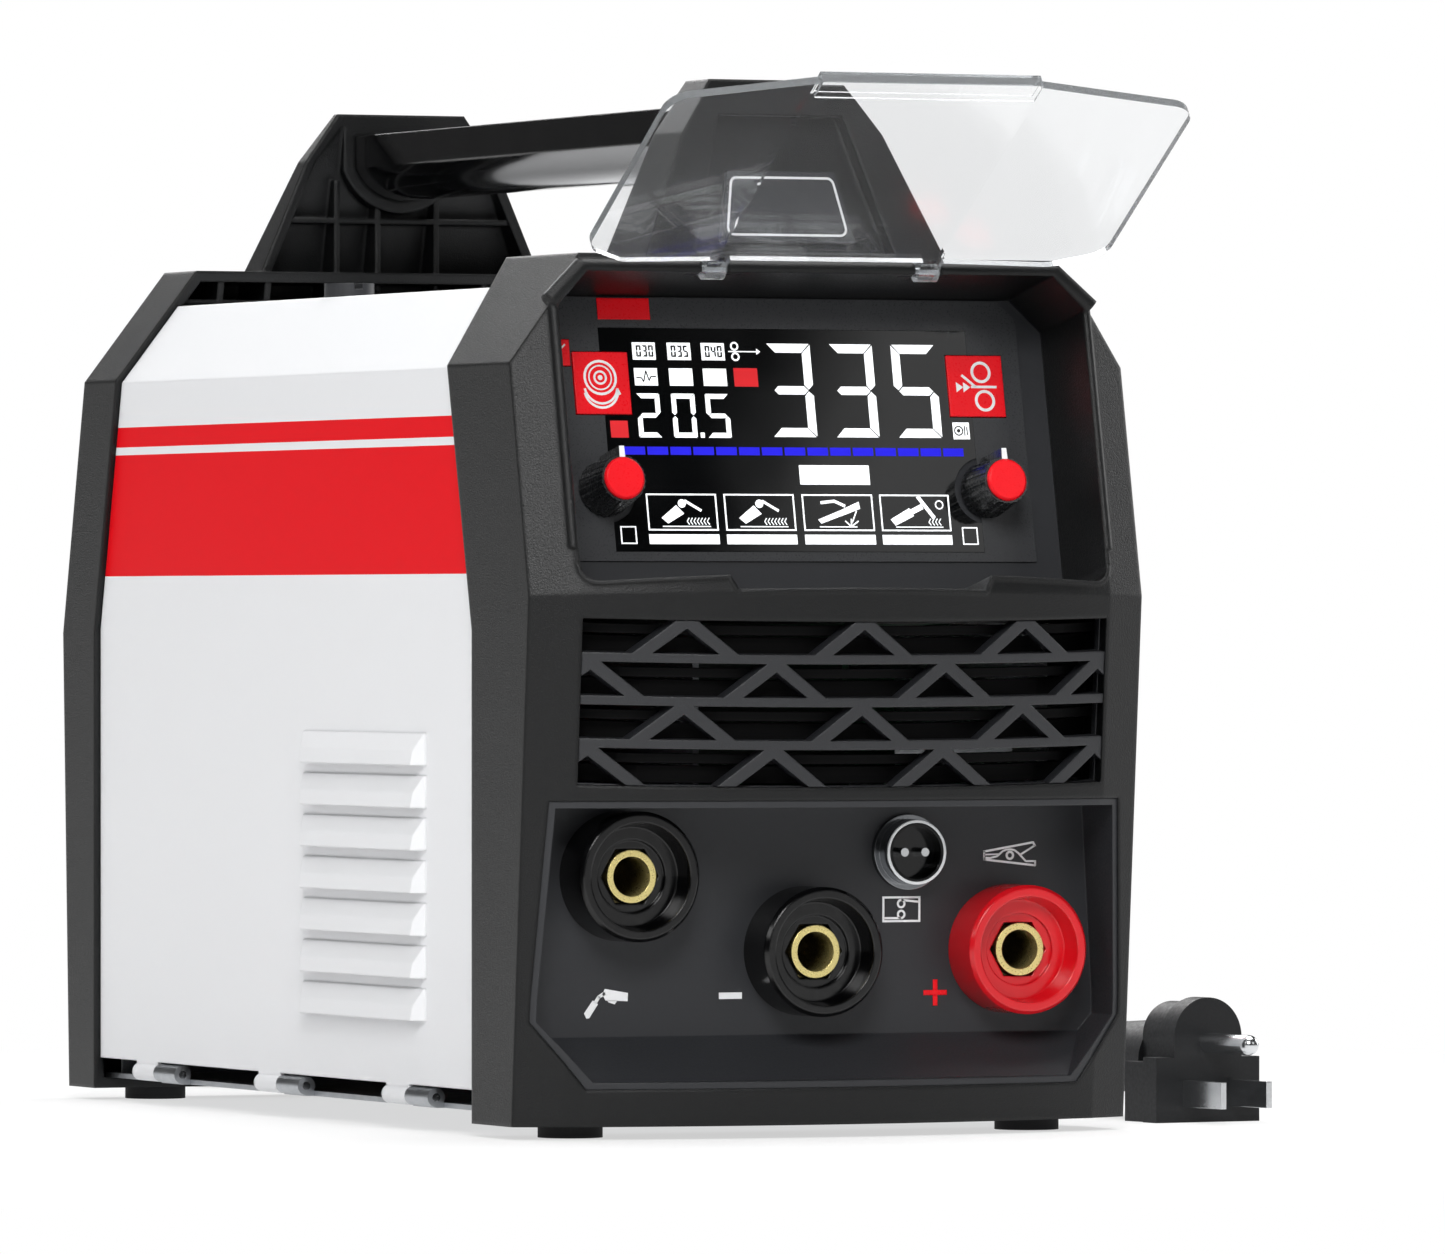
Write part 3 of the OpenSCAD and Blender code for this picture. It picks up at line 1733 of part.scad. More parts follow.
// curve through a list of points, four steps from each point to the next
function clamp_at(p, i) = p[max(0, min(len(p) - 1, i))];
function spline(p, i, t) =
    let (a = clamp_at(p, i - 1), b = clamp_at(p, i), c = clamp_at(p, i + 1), d = clamp_at(p, i + 2))
    0.5 * (2 * b + (c - a) * t + (2 * a - 5 * b + 4 * c - d) * t * t + (3 * b - a - 3 * c + d) * t * t * t);
function curve(p) = concat([for (i = [0 : len(p) - 2], t = [0 : 0.25 : 0.75]) spline(p, i, t)], [p[len(p) - 1]]);
function unit(v) = v / norm(v);
function heading(p, i) = unit(clamp_at(p, i + 1) - clamp_at(p, i - 1));

// one unbroken round cord along a curve
module cord_tube(p) {
    side_a = [for (i = [0 : len(p) - 1]) unit(cross([0, 0, 1], heading(p, i)))];
    side_b = [for (i = [0 : len(p) - 1]) cross(heading(p, i), side_a[i])];
    tube(p, side_b, side_a, cord_r, 10);
}

module mains_lead() {
    color("#1a1a1c") {
        cord_tube(curve(lead_in));
        cord_tube(curve(lead_out));
    }
}

module cord_coil() {
    pts = [for (i = [0 : coil_n]) coil_point(i)];
    out = [for (i = [0 : coil_n]) [cos(coil_ang(i)), sin(coil_ang(i)), 0]];
    up = [for (i = [0 : coil_n]) [0, 0, 1]];
    color("#1a1a1c")
        tube(pts, up, out, cord_r, 6);
}

module at_plug() {
    translate(plug_at)
        rotate([0, 0, plug_turn])
            children();
}

// face of the plug, drawn in by g
module plug_face(g) {
    translate([0, 20.1])
        circle(9.4 - g);
    translate([g - 9.4, 5])
        square([18.8 - 2 * g, 15.1]);
    translate([g - 14.4, 0])
        square([28.8 - 2 * g, 15.4 - g]);
}

module plug_body() {
    color("#1a1a1c")
        at_plug() {
            along(0, 6)
                plug_face(0);
            along(5.9, 16)
                plug_face(1.2);
            bar_y(0, 14.5, 15.9, 38, 9.5, 8.3);
            bar_y(0, 14.5, 37.9, 60, 7.6, 5.6);
        }
}

module plug_pins() {
    color("#c9ccd0")
        at_plug() {
            for (m = [-1, 1])
                block([m * 6.35 - 0.76, -17, 3.7], [m * 6.35 + 0.76, 0, 10]);
            bar_y(0, 18.7, -18, 0, 2.4);
            translate([0, -18, 18.7])
                sphere(r = 2.4);
        }
}

// ---- placing ----

visor_reach = visor_y - (visor_l + 1.5) * cos(visor_open) - 1.6 * sin(visor_open);
centre_y = (visor_reach + gland_end) / 2;

module at_origin() {
    translate([0, -centre_y, 0])
        children();
}

at_origin() {
    front_bezel();
    rear_bezel();
    front_grille();
    grille_slats();
    cover();
    wire_door();
    door_hinge_pin();
    door_latch();
    base_pan();
    feet();
    case_screws();
    handle_bar();
    badge_plate();
    visor();
    visor_pins();
    panel_plate();
    panel_overlay();
    display_window();
    control_board();
    key_spool();
    key_feed();
    key_mode();
    knob_left();
    knob_left_cap();
    knob_right();
    knob_right_cap();
    socket_panel();
    black_collars();
    red_collar();
    torch_socket();
    minus_socket();
    plus_socket();
    control_socket();
    control_pins();
    main_board();
    transformer();
    translate([bay_x, 0, 0]) {
        bulkhead();
        heat_sink();
        feed_motor();
        feed_block();
        drive_roll();
        pressure_arm();
        pressure_roll();
        tension_lever();
        spool();
        wire_winding();
        spindle();
        spool_nut();
        wire_strand();
    }
    rear_panel();
    fan_frame();
    fan_rotor();
    fan_guard();
    switch_frame();
    power_rocker();
    cord_gland();
    mains_lead();
    cord_coil();
    plug_body();
    plug_pins();
}
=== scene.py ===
import math

import bmesh
import bpy
from mathutils import Matrix, Vector


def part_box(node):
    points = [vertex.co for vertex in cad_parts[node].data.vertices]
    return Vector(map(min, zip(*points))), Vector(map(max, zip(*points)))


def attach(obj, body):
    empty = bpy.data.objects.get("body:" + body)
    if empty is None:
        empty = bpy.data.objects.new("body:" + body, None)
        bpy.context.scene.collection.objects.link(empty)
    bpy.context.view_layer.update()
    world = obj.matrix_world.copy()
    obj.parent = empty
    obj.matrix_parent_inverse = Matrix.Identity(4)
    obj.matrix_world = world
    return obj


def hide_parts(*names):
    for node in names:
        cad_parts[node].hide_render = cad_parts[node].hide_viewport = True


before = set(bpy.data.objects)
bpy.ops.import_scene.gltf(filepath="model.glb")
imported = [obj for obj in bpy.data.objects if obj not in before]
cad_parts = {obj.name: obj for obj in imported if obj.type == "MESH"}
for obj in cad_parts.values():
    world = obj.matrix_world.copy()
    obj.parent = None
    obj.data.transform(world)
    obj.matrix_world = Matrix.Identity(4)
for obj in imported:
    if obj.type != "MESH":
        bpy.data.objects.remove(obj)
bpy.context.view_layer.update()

# ---- camera ----
# A long lens looks level at the front left corner of the case, 24 degrees to the side of its axis. The case's
# own middle lies case_shift from the frame's along y, because the lead's coil reaches out behind it.
MM = 0.001
gland_end = 158.0
case_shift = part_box("cord_gland")[1].y - gland_end * MM
view_turn = math.radians(24.0)
view_dip = math.radians(0.054)


def linked(name, data):
    """A new object with this data, in the scene and at the origin."""
    obj = bpy.data.objects.new(name, data)
    bpy.context.scene.collection.objects.link(obj)
    return obj


camera_data = bpy.data.cameras.new("camera")
camera_data.lens = 316.4
camera_data.sensor_width = 36.0
camera_data.sensor_fit = "HORIZONTAL"
camera_data.clip_end = 20.0
camera = linked("camera", camera_data)
camera.location = (-1.21293, -2.80609 + case_shift, 0.11998)
camera.rotation_euler = (math.pi / 2 - view_dip, 0.0, -view_turn)
bpy.context.scene.camera = camera

# ---- mains lead ----
# The lead is a round rubber-sheathed cable, clamped in the gland at the back. It drops over the turns of its
# own coil, winds outwards and comes forward along the case to the plug, which is moulded onto it.
def in_case(x, y, z):
    """A point in the case's own axes, in mm: x across, y to the back from the middle, z up."""
    return Vector((x * MM, y * MM + case_shift, z * MM))


cord_d = 9.5
cord_r = cord_d / 2
coil_pitch = cord_d + 0.7
coil_inner = 42.0
coil_steps, coil_count = 24, 78
coil_x = 44.0
coil_y = gland_end + coil_inner + coil_pitch * (coil_count / coil_steps - 0.75) + cord_r + 1


def coil_point(i):
    """A point of the coil's centreline; 24 steps make one turn."""
    radius = coil_inner + coil_pitch * i / coil_steps
    turn = math.radians(90 - 360 * i / coil_steps)
    return (coil_x + radius * math.cos(turn), coil_y + radius * math.sin(turn), cord_r)


def curve(points, steps=4):
    """A smooth line through the points, as in the part's source."""
    out = []
    last = len(points) - 1
    for i in range(last):
        a, b, c, d = (Vector(points[min(max(k, 0), last)]) for k in (i - 1, i, i + 1, i + 2))
        for s in range(steps):
            t = s / steps
            out.append(0.5 * (2 * b + (c - a) * t + (2 * a - 5 * b + 4 * c - d) * t * t
                              + (3 * b - a - 3 * c + d) * t ** 3))
    return out + [Vector(points[last])]


gland_x, gland_z = 40.0, 34.0
lead_in = [
    (gland_x, gland_end, gland_z),
    (gland_x, gland_end + 12, gland_z - 0.6),
    (gland_x - 2, gland_end + 28, 27),
    (gland_x - 9, gland_end + 47, 17.5),
    (gland_x - 22, gland_end + 65, 9.5),
    (gland_x - 32, gland_end + 83, cord_r),
    (coil_x - 32.5, coil_y + 21, cord_r),
    (coil_x - 19, coil_y + 36, cord_r),
    (coil_x - 6, coil_y + coil_inner - 0.6, cord_r),
    coil_point(0),
]
coil_end = coil_point(coil_count)
plug_turn = math.radians(6.0)
plug_axis = Vector((math.sin(plug_turn), -math.cos(plug_turn), 0.0))
plug_front = Vector((114.4, -107.3, 14.5))
plug_length = 60
plug_back = plug_front - plug_length * plug_axis
lead_out = [
    coil_end,
    (coil_end[0], coil_end[1] - 12, cord_r),
    (coil_end[0] - 6, coil_end[1] - 64, cord_r),
    (106, 110, cord_r),
    (103, 50, cord_r),
    (103, 5, cord_r + 1),
    plug_back - 22 * plug_axis - Vector((0, 0, 4)),
    plug_back - 7 * plug_axis - Vector((0, 0, 0.3)),
    plug_back,
]
lead_line = curve(lead_in)[:-1] + [Vector(coil_point(i)) for i in range(coil_count)] + curve(lead_out)
lead_points = [in_case(*p) for p in lead_line]


def linear(code):
    """sRGB hex to linear RGBA."""
    parts = [int(code[i:i + 2], 16) / 255.0 for i in (1, 3, 5)]
    lin = [c / 12.92 if c <= 0.04045 else ((c + 0.055) / 1.055) ** 2.4 for c in parts]
    return (*lin, 1.0)


def add(tree, kind, settings=None, inputs=None):
    """One node with its settings, and its inputs set to values or linked to sockets."""
    item = tree.nodes.new(kind)
    for key, value in (settings or {}).items():
        setattr(item, key, value)
    for key, value in (inputs or {}).items():
        if isinstance(value, bpy.types.NodeSocket):
            tree.links.new(value, item.inputs[key])
        else:
            item.inputs[key].default_value = value
    return item


def bare_tree(data):
    """The node tree of a material or of the world, emptied."""
    data.use_nodes = True
    data.node_tree.nodes.clear()
    return data.node_tree


def start_material(name, color, roughness, metallic=0.0, specular=0.5, **more):
    """A Principled material of one colour, with any other of the shader's values by name."""
    material = bpy.data.materials.new(name)
    tree = bare_tree(material)
    shader = add(tree, "ShaderNodeBsdfPrincipled", None, {
        "Base Color": linear(color), "Roughness": roughness, "Metallic": metallic,
        "Specular IOR Level": specular, **more})
    out = add(tree, "ShaderNodeOutputMaterial")
    tree.links.new(shader.outputs[0], out.inputs["Surface"])
    return material


def tree_and_shader(material):
    """A material's node tree and its Principled node."""
    return material.node_tree, material.node_tree.nodes["Principled BSDF"]


def grain(material, size_mm, depth_mm, strength=0.5, detail=2.0, edge_mm=0.0):
    """Fine bump whose grains are size_mm across, on Object coordinates; edges are softened over edge_mm."""
    tree, shader = tree_and_shader(material)
    place = add(tree, "ShaderNodeTexCoord")
    noise = add(tree, "ShaderNodeTexNoise", None, {
        "Vector": place.outputs["Object"], "Scale": 1.0 / (size_mm * MM), "Detail": detail, "Roughness": 0.6})
    bump = add(tree, "ShaderNodeBump", None, {
        "Height": noise.outputs[0], "Strength": strength, "Distance": depth_mm * MM})
    if edge_mm:
        edge = add(tree, "ShaderNodeBevel", {"samples": 6}, {"Radius": edge_mm * MM})
        tree.links.new(edge.outputs[0], bump.inputs["Normal"])
    tree.links.new(bump.outputs[0], shader.inputs["Normal"])
    return noise


def worn(material, low, high, *bump, **more):
    """The bump that grain makes, with a roughness that wanders between low and high in the same pattern."""
    tree, shader = tree_and_shader(material)
    noise = grain(material, *bump, **more)
    spread = add(tree, "ShaderNodeMapRange", None, {
        "Value": noise.outputs[0], "From Min": 0.3, "From Max": 0.7, "To Min": low, "To Max": high})
    tree.links.new(spread.outputs[0], shader.inputs["Roughness"])


def dress(material, *nodes):
    """Gives CAD nodes their material."""
    for name in nodes:
        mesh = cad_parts[name].data
        mesh.materials.clear()
        mesh.materials.append(material)


def finish_piece(obj, body):
    """The piece moves with its body."""
    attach(obj, body)
    return obj


# Sheathing rubber: soft black, a dull satin that lightens a little at grazing angles.
rubber = start_material("sheathing_rubber", "#121315", 0.5, specular=0.4)
worn(rubber, 0.42, 0.58, size_mm=0.8, depth_mm=0.05, strength=0.3)
dress(rubber, "plug_body")

# The plug's blades: nickel-plated brass, bright and slightly brushed.
pin_metal = start_material("nickel_blades", "#d6d8da", 0.2, 1.0)
worn(pin_metal, 0.16, 0.26, size_mm=0.5, depth_mm=0.01, strength=0.1, edge_mm=0.3)
dress(pin_metal, "plug_pins")

lead_curve = bpy.data.curves.new("mains_lead_sheath", "CURVE")
lead_curve.dimensions = "3D"
lead_curve.bevel_depth = cord_r * MM
lead_curve.bevel_resolution = 5
lead_curve.use_fill_caps = True
lead_spline = lead_curve.splines.new("POLY")
lead_spline.points.add(len(lead_points) - 1)
for spline_point, place in zip(lead_spline.points, lead_points):
    spline_point.co = (*place, 1.0)
lead_spline.use_smooth = True
lead_curve.materials.append(rubber)
mains_sheath = linked("mains_lead_sheath", lead_curve)
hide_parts("mains_lead", "cord_coil")
finish_piece(mains_sheath, "case")

# ---- moulded bezels ----
# The two end bezels, the grille insert and the towers are injection moulded in black ABS with a spark-eroded
# texture: a deep grey-black with a fine sandy sparkle, a satin face and edges worn slightly smoother.
# The real grain is about 0.1 mm across; it is drawn coarser, or it wouldn't show.
texture_mm = 0.4
abs_black = start_material("textured_black_abs", "#0a0b0c", 0.4, specular=0.37)
worn(abs_black, 0.3, 0.46, size_mm=texture_mm, depth_mm=0.12, strength=0.9, detail=3.0, edge_mm=1.3)
dress(abs_black, "front_bezel", "rear_bezel", "spool", "spool_nut", "fan_frame", "fan_rotor", "switch_frame",
      "cord_gland")

# The socket panel, the plate under the overlay, the door's latch and the feed block are plain satin ABS, a
# shade lighter than the bezels.
satin = start_material("satin_black_abs", "#2c2d30", 0.4, specular=0.4)
worn(satin, 0.36, 0.5, size_mm=0.5, depth_mm=0.05, strength=0.4, edge_mm=0.5)
dress(satin, "socket_panel", "panel_plate", "door_latch", "feed_block")

# The grille insert has the bezels' texture in a slightly greyer plastic.
grille = start_material("textured_grille_abs", "#26272a", 0.42, specular=0.5)
worn(grille, 0.32, 0.48, size_mm=texture_mm, depth_mm=0.12, strength=0.9, detail=3.0, edge_mm=0.6)
dress(grille, "front_grille")

# The slats behind the grille stay in its shadow; their colour is darkened further as painted shade, the darkest
# moulding.
shaded_slat = start_material("matt_black_slats_painted_shade", "#060607", 0.6, specular=0.12)
grain(shaded_slat, size_mm=0.5, depth_mm=0.05, strength=0.4, edge_mm=0.4)
dress(shaded_slat, "grille_slats")

# ---- painted sheets ----
# The cover and the wire-bay door are 1 mm steel sheet, bent and powder coated pale grey. A red band with a
# thin red line above it is printed round the sides.
band_low, band_high = 129.5, 159.3
line_low, line_high = 161.2, 166.1
pale_grey, band_red = "#e6e7e9", "#e1101b"
paint = start_material("powder_coated_steel", pale_grey, 0.32, specular=0.05)
grain(paint, size_mm=2.2, depth_mm=0.02, strength=0.12, detail=1.0, edge_mm=0.8)
paint_tree, paint_shader = tree_and_shader(paint)
paint_place = add(paint_tree, "ShaderNodeTexCoord")
paint_xyz = add(paint_tree, "ShaderNodeSeparateXYZ", None, {"Vector": paint_place.outputs["Object"]})


def stripe(tree, height, low, high):
    """One inside the stripe between two heights in mm, nought outside it."""
    above = add(tree, "ShaderNodeMath", {"operation": "GREATER_THAN"}, {0: height, 1: low * MM})
    below = add(tree, "ShaderNodeMath", {"operation": "LESS_THAN"}, {0: height, 1: high * MM})
    both = add(tree, "ShaderNodeMath", {"operation": "MULTIPLY"}, {0: above.outputs[0], 1: below.outputs[0]})
    return both.outputs[0]


band = stripe(paint_tree, paint_xyz.outputs["Z"], band_low, band_high)
line = stripe(paint_tree, paint_xyz.outputs["Z"], line_low, line_high)
both_bands = add(paint_tree, "ShaderNodeMath", {"operation": "MAXIMUM"}, {0: band, 1: line})
# The print is on the outer face alone, where the normal points away from the middle of the machine.
paint_normal = add(paint_tree, "ShaderNodeSeparateXYZ", None, {"Vector": paint_place.outputs["Normal"]})
paint_outward = add(paint_tree, "ShaderNodeMath", {"operation": "MULTIPLY"}, {
    0: paint_normal.outputs["X"], 1: paint_xyz.outputs["X"]})
paint_outer = add(paint_tree, "ShaderNodeMath", {"operation": "GREATER_THAN"}, {
    0: paint_outward.outputs[0], 1: 0.0})
printed = add(paint_tree, "ShaderNodeMath", {"operation": "MULTIPLY"}, {
    0: both_bands.outputs[0], 1: paint_outer.outputs[0]})
paint_mix = add(paint_tree, "ShaderNodeMix", {"data_type": "RGBA"}, {
    0: printed.outputs[0], 6: linear(pale_grey), 7: linear(band_red)})
paint_tree.links.new(paint_mix.outputs[2], paint_shader.inputs["Base Color"])
dress(paint, "cover", "wire_door")

# ---- base pan, bulkhead and rear panel ----
# The pan closes the bottom, the bulkhead stands between the wire bay and the power parts, and the rear panel
# closes the back. All are folded zinc-plated sheet, cool grey with a soft broad sheen.
zinc = start_material("zinc_plated_steel", "#b3b6ba", 0.4, 1.0)
worn(zinc, 0.32, 0.5, size_mm=3.0, depth_mm=0.02, strength=0.2)
dress(zinc, "base_pan", "bulkhead", "rear_panel")

# Bright turned and drawn steel for pins, screws, rolls and the fan's guard.
steel = start_material("bright_steel", "#c6c8cb", 0.22, 1.0)
worn(steel, 0.16, 0.3, size_mm=0.6, depth_mm=0.01, strength=0.2)
dress(steel, "door_hinge_pin", "case_screws", "visor_pins", "feed_motor", "drive_roll", "pressure_arm",
      "pressure_roll", "fan_guard")

# ---- cover screws ----
# Four cross-recessed pan-head screws, of bright zinc-plated steel, hold the cover on the right side. One head
# is a flattened dome less two crossed slots, repeated on the points where the solids' heads stand.
def node_group(name, sockets):
    """A geometry node tree with the named inputs; the tree and its input and output nodes."""
    tree = bpy.data.node_groups.new(name, "GeometryNodeTree")
    tree.interface.new_socket("Geometry", in_out="INPUT", socket_type="NodeSocketGeometry")
    for label, kind in sockets:
        tree.interface.new_socket(label, in_out="INPUT", socket_type="NodeSocket" + kind)
    tree.interface.new_socket("Geometry", in_out="OUTPUT", socket_type="NodeSocketGeometry")
    return tree, tree.nodes.new("NodeGroupInput"), tree.nodes.new("NodeGroupOutput")


def close_group(tree, out, geometry, material):
    """Realizes what the tree made, gives it its material and sends it out."""
    real = add(tree, "GeometryNodeRealizeInstances", None, {"Geometry": geometry})
    dressed = add(tree, "GeometryNodeSetMaterial", None, {"Geometry": real.outputs[0], "Material": material})
    tree.links.new(dressed.outputs[0], out.inputs[0])


def settled(holder, name):
    """The mesh that an object's modifiers make; the object itself is removed."""
    bpy.context.view_layer.update()
    result = holder.evaluated_get(bpy.context.evaluated_depsgraph_get())
    data = bpy.data.meshes.new_from_object(result)
    data.name = name
    holder.modifiers.clear()
    bpy.data.objects.remove(holder)
    return data


def grown(name, tree, points, values):
    """The tree's result on a mesh of points, as a plain mesh object."""
    start = bpy.data.meshes.new(name + "_points")
    start.from_pydata(points, [], [])
    holder = linked(name + "_points", start)
    modifier = holder.modifiers.new("grow", "NODES")
    modifier.node_group = tree
    for item in tree.interface.items_tree:
        if item.in_out == "INPUT" and item.name in values:
            modifier[item.identifier] = values[item.name]
    return linked(name, settled(holder, name))


def merged(node):
    """A bmesh copy of a CAD node's mesh with its doubles merged."""
    mesh = bmesh.new()
    mesh.from_mesh(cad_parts[node].data)
    bmesh.ops.remove_doubles(mesh, verts=mesh.verts, dist=1e-6)
    return mesh


def piece_centres(node):
    """The middle of each loose part of a CAD node's mesh, with its highest x, in one order every time."""
    mesh = merged(node)
    left, found = set(mesh.verts), []
    while left:
        part, todo = [], [left.pop()]
        while todo:
            vert = todo.pop()
            part.append(vert.co.copy())
            for edge in vert.link_edges:
                other = edge.other_vert(vert)
                if other in left:
                    left.remove(other)
                    todo.append(other)
        low = Vector([min(p[k] for p in part) for k in range(3)])
        high = Vector([max(p[k] for p in part) for k in range(3)])
        found.append(Vector((high.x, (low.y + high.y) / 2, (low.z + high.z) / 2)))
    mesh.free()
    return sorted(found, key=tuple)


screw_tree, screw_in, screw_out = node_group("cross_recess_heads", [
    ("Radius", "Float"), ("Rise", "Float"), ("Recess", "Float"), ("Slot", "Float")])
dome_size = add(screw_tree, "ShaderNodeCombineXYZ", None, {
    0: screw_in.outputs["Rise"], 1: screw_in.outputs["Radius"], 2: screw_in.outputs["Radius"]})
dome = add(screw_tree, "GeometryNodeMeshUVSphere", None, {"Segments": 40, "Rings": 24, "Radius": 1.0})
dome_scaled = add(screw_tree, "GeometryNodeTransform", None, {
    "Geometry": dome.outputs[0], "Scale": dome_size.outputs[0]})
slot_a = add(screw_tree, "ShaderNodeCombineXYZ", None, {
    0: screw_in.outputs["Rise"], 1: screw_in.outputs["Recess"], 2: screw_in.outputs["Slot"]})
slot_b = add(screw_tree, "ShaderNodeCombineXYZ", None, {
    0: screw_in.outputs["Rise"], 1: screw_in.outputs["Slot"], 2: screw_in.outputs["Recess"]})
slot_place = add(screw_tree, "ShaderNodeCombineXYZ", None, {0: screw_in.outputs["Rise"], 1: 0.0, 2: 0.0})
dome_cut = dome_scaled.outputs[0]
for slot_size in (slot_a, slot_b):
    slot_box = add(screw_tree, "GeometryNodeMeshCube", None, {"Size": slot_size.outputs[0]})
    slot_moved = add(screw_tree, "GeometryNodeTransform", None, {
        "Geometry": slot_box.outputs[0], "Translation": slot_place.outputs[0]})
    dome_less = add(screw_tree, "GeometryNodeMeshBoolean", {"operation": "DIFFERENCE"}, {"Mesh 1": dome_cut})
    screw_tree.links.new(slot_moved.outputs[0], dome_less.inputs["Mesh 2"])
    dome_cut = dome_less.outputs[0]
screw_copies = add(screw_tree, "GeometryNodeInstanceOnPoints", None, {
    "Points": screw_in.outputs["Geometry"], "Instance": dome_cut})
close_group(screw_tree, screw_out, screw_copies.outputs[0], steel)
head_r, head_rise, head_sunk, recess_l, recess_w = 3.2, 1.5, 1.0, 3.6, 0.8
screw_seats = [place - Vector((head_sunk * MM, 0, 0)) for place in piece_centres("case_screws")]
cover_screws = grown("cover_screws", screw_tree, screw_seats, {
    "Radius": head_r * MM, "Rise": head_rise * MM, "Recess": recess_l * MM, "Slot": recess_w * MM})
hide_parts("case_screws")
finish_piece(cover_screws, "case")

# ---- feet ----
# Four feet of moulded black rubber are pressed into the base pan. They are matt and slightly dusty, and
# greyer than the lead.
foot_rubber = start_material("moulded_rubber", "#1c1c1e", 0.75)
grain(foot_rubber, size_mm=1.0, depth_mm=0.05, strength=0.4)
dress(foot_rubber, "feet")

# ---- handle ----
# The round-bottomed bar is moulded in black ABS in a polished tool and held between the towers. It is the
# one glossy black piece on top, so its underside carries a long clear reflection.
polished = start_material("polished_black_abs", "#030304", 0.1, specular=0.6, **{
    "Coat Weight": 0.7, "Coat Roughness": 0.08, "Coat IOR": 1.5})
worn(polished, 0.1, 0.16, size_mm=14.0, depth_mm=0.05, strength=0.04, detail=1.0, edge_mm=0.8)
dress(polished, "handle_bar")

# ---- visor ----
# The visor is a folded sheet of clear polycarbonate, 2 mm thick, that swings on two steel pins. It is
# colourless with soft reflections, and its sawn edges, rounded at the corners, are paler and duller.
clear = start_material("clear_polycarbonate", "#f5f6f7", 0.02, **{
    "IOR": 1.2, "Transmission Weight": 0.975, "Coat Weight": 1.0, "Coat Roughness": 0.16, "Coat IOR": 1.38})
edge_clear = start_material("sawn_polycarbonate_edge", "#c4c8cb", 0.2, **{
    "IOR": 1.25, "Transmission Weight": 0.75})
visor_open = math.radians(34.0)
visor_turn = Matrix.Rotation(-visor_open, 3, "X")
visor_hinge = Vector((0, -136.4947, 199.5031))
arc_steps = 8


def rounded(corners):
    """A closed outline; each corner is x, y and the radius that rounds it."""
    line, count = [], len(corners)
    for i, (x, y, r) in enumerate(corners):
        here = Vector((x, y))
        if r <= 0:
            line.append((x, y))
            continue
        back = (Vector(corners[i - 1][:2]) - here).normalized()
        ahead = (Vector(corners[(i + 1) % count][:2]) - here).normalized()
        half = back.angle(ahead) / 2
        middle = here + (back + ahead).normalized() * (r / math.sin(half))
        start = here + back * (r / math.tan(half)) - middle
        end = here + ahead * (r / math.tan(half)) - middle
        for k in range(arc_steps + 1):
            spoke = start.lerp(end, k / arc_steps).normalized() * r
            line.append(tuple(middle + spoke))
    return line


def on_visor(x, y, z):
    """A point in the visor's own axes, in mm from its hinge: y along the sheet, z through it."""
    return in_case(*(visor_turn @ Vector((x, y, z)) + visor_hinge))


# The right half of the sheet's outline: past the knuckle, along the hinge side, round the free corner, and
# past the thicker lip in the middle of the free edge.
visor_half = [(32, 6, 0), (32, -5.43, 0), (54, -8.94, 12), (65.56, -15.97, 8), (65.56, -73.5, 5.2),
              (28.5, -73.5, 0), (28.5, -77, 0)]
visor_plan = rounded(visor_half + [(-x, y, r) for x, y, r in reversed(visor_half)])
plan_data = bpy.data.meshes.new("visor_plan")
count = len(visor_plan)
plan_walls = [(i, i + count, (i + 1) % count + count, (i + 1) % count) for i in range(count)]
plan_data.from_pydata([on_visor(x, y, z) for z in (-20, 20) for x, y in visor_plan], [],
                      [list(range(count)), list(range(2 * count - 1, count - 1, -1))] + plan_walls)
visor_cutter = linked("visor_plan", plan_data)
sheet_mesh = merged("visor")
bmesh.ops.recalc_face_normals(sheet_mesh, faces=sheet_mesh.faces)
sheet_data = bpy.data.meshes.new("visor_start")
sheet_mesh.to_mesh(sheet_data)
sheet_mesh.free()
visor_start = linked("visor_start", sheet_data)
visor_trim = visor_start.modifiers.new("trim", "BOOLEAN")
visor_trim.operation = "INTERSECT"
visor_trim.solver = "EXACT"
visor_trim.object = visor_cutter
trimmed = settled(visor_start, "visor_sheet")
bpy.data.objects.remove(visor_cutter)
trimmed.materials.clear()
trimmed.materials.append(clear)
trimmed.materials.append(edge_clear)
visor_up = visor_turn @ Vector((0, 0, 1))
for polygon in trimmed.polygons:
    polygon.use_smooth = False
    polygon.material_index = 0 if abs(polygon.normal.dot(visor_up)) > 0.8 else 1
visor_sheet = linked("visor_sheet", trimmed)
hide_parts("visor")
finish_piece(visor_sheet, "visor")

# ---- control panel ----
# At the bottom of the recess a dark grey printed polyester overlay surrounds a glossy smoked window. A lit
# display shines through the window, keys and knobs stand through the overlay, and boards lie behind.
# The overlay is a satin film, the window a flat gloss black with a faint ripple, the boards a green lacquer.
overlay = start_material("printed_polyester_overlay", "#38393b", 0.3, specular=0.35)
worn(overlay, 0.24, 0.38, size_mm=0.4, depth_mm=0.01, strength=0.2)
dress(overlay, "panel_overlay")

window = start_material("smoked_acrylic_window", "#060708", 0.08, specular=0.4)
worn(window, 0.06, 0.1, size_mm=20.0, depth_mm=0.02, strength=0.03, detail=1.0)
dress(window, "display_window")

board = start_material("green_solder_mask", "#1a5a35", 0.35)
grain(board, size_mm=1.5, depth_mm=0.03, strength=0.3)
dress(board, "control_board", "main_board")

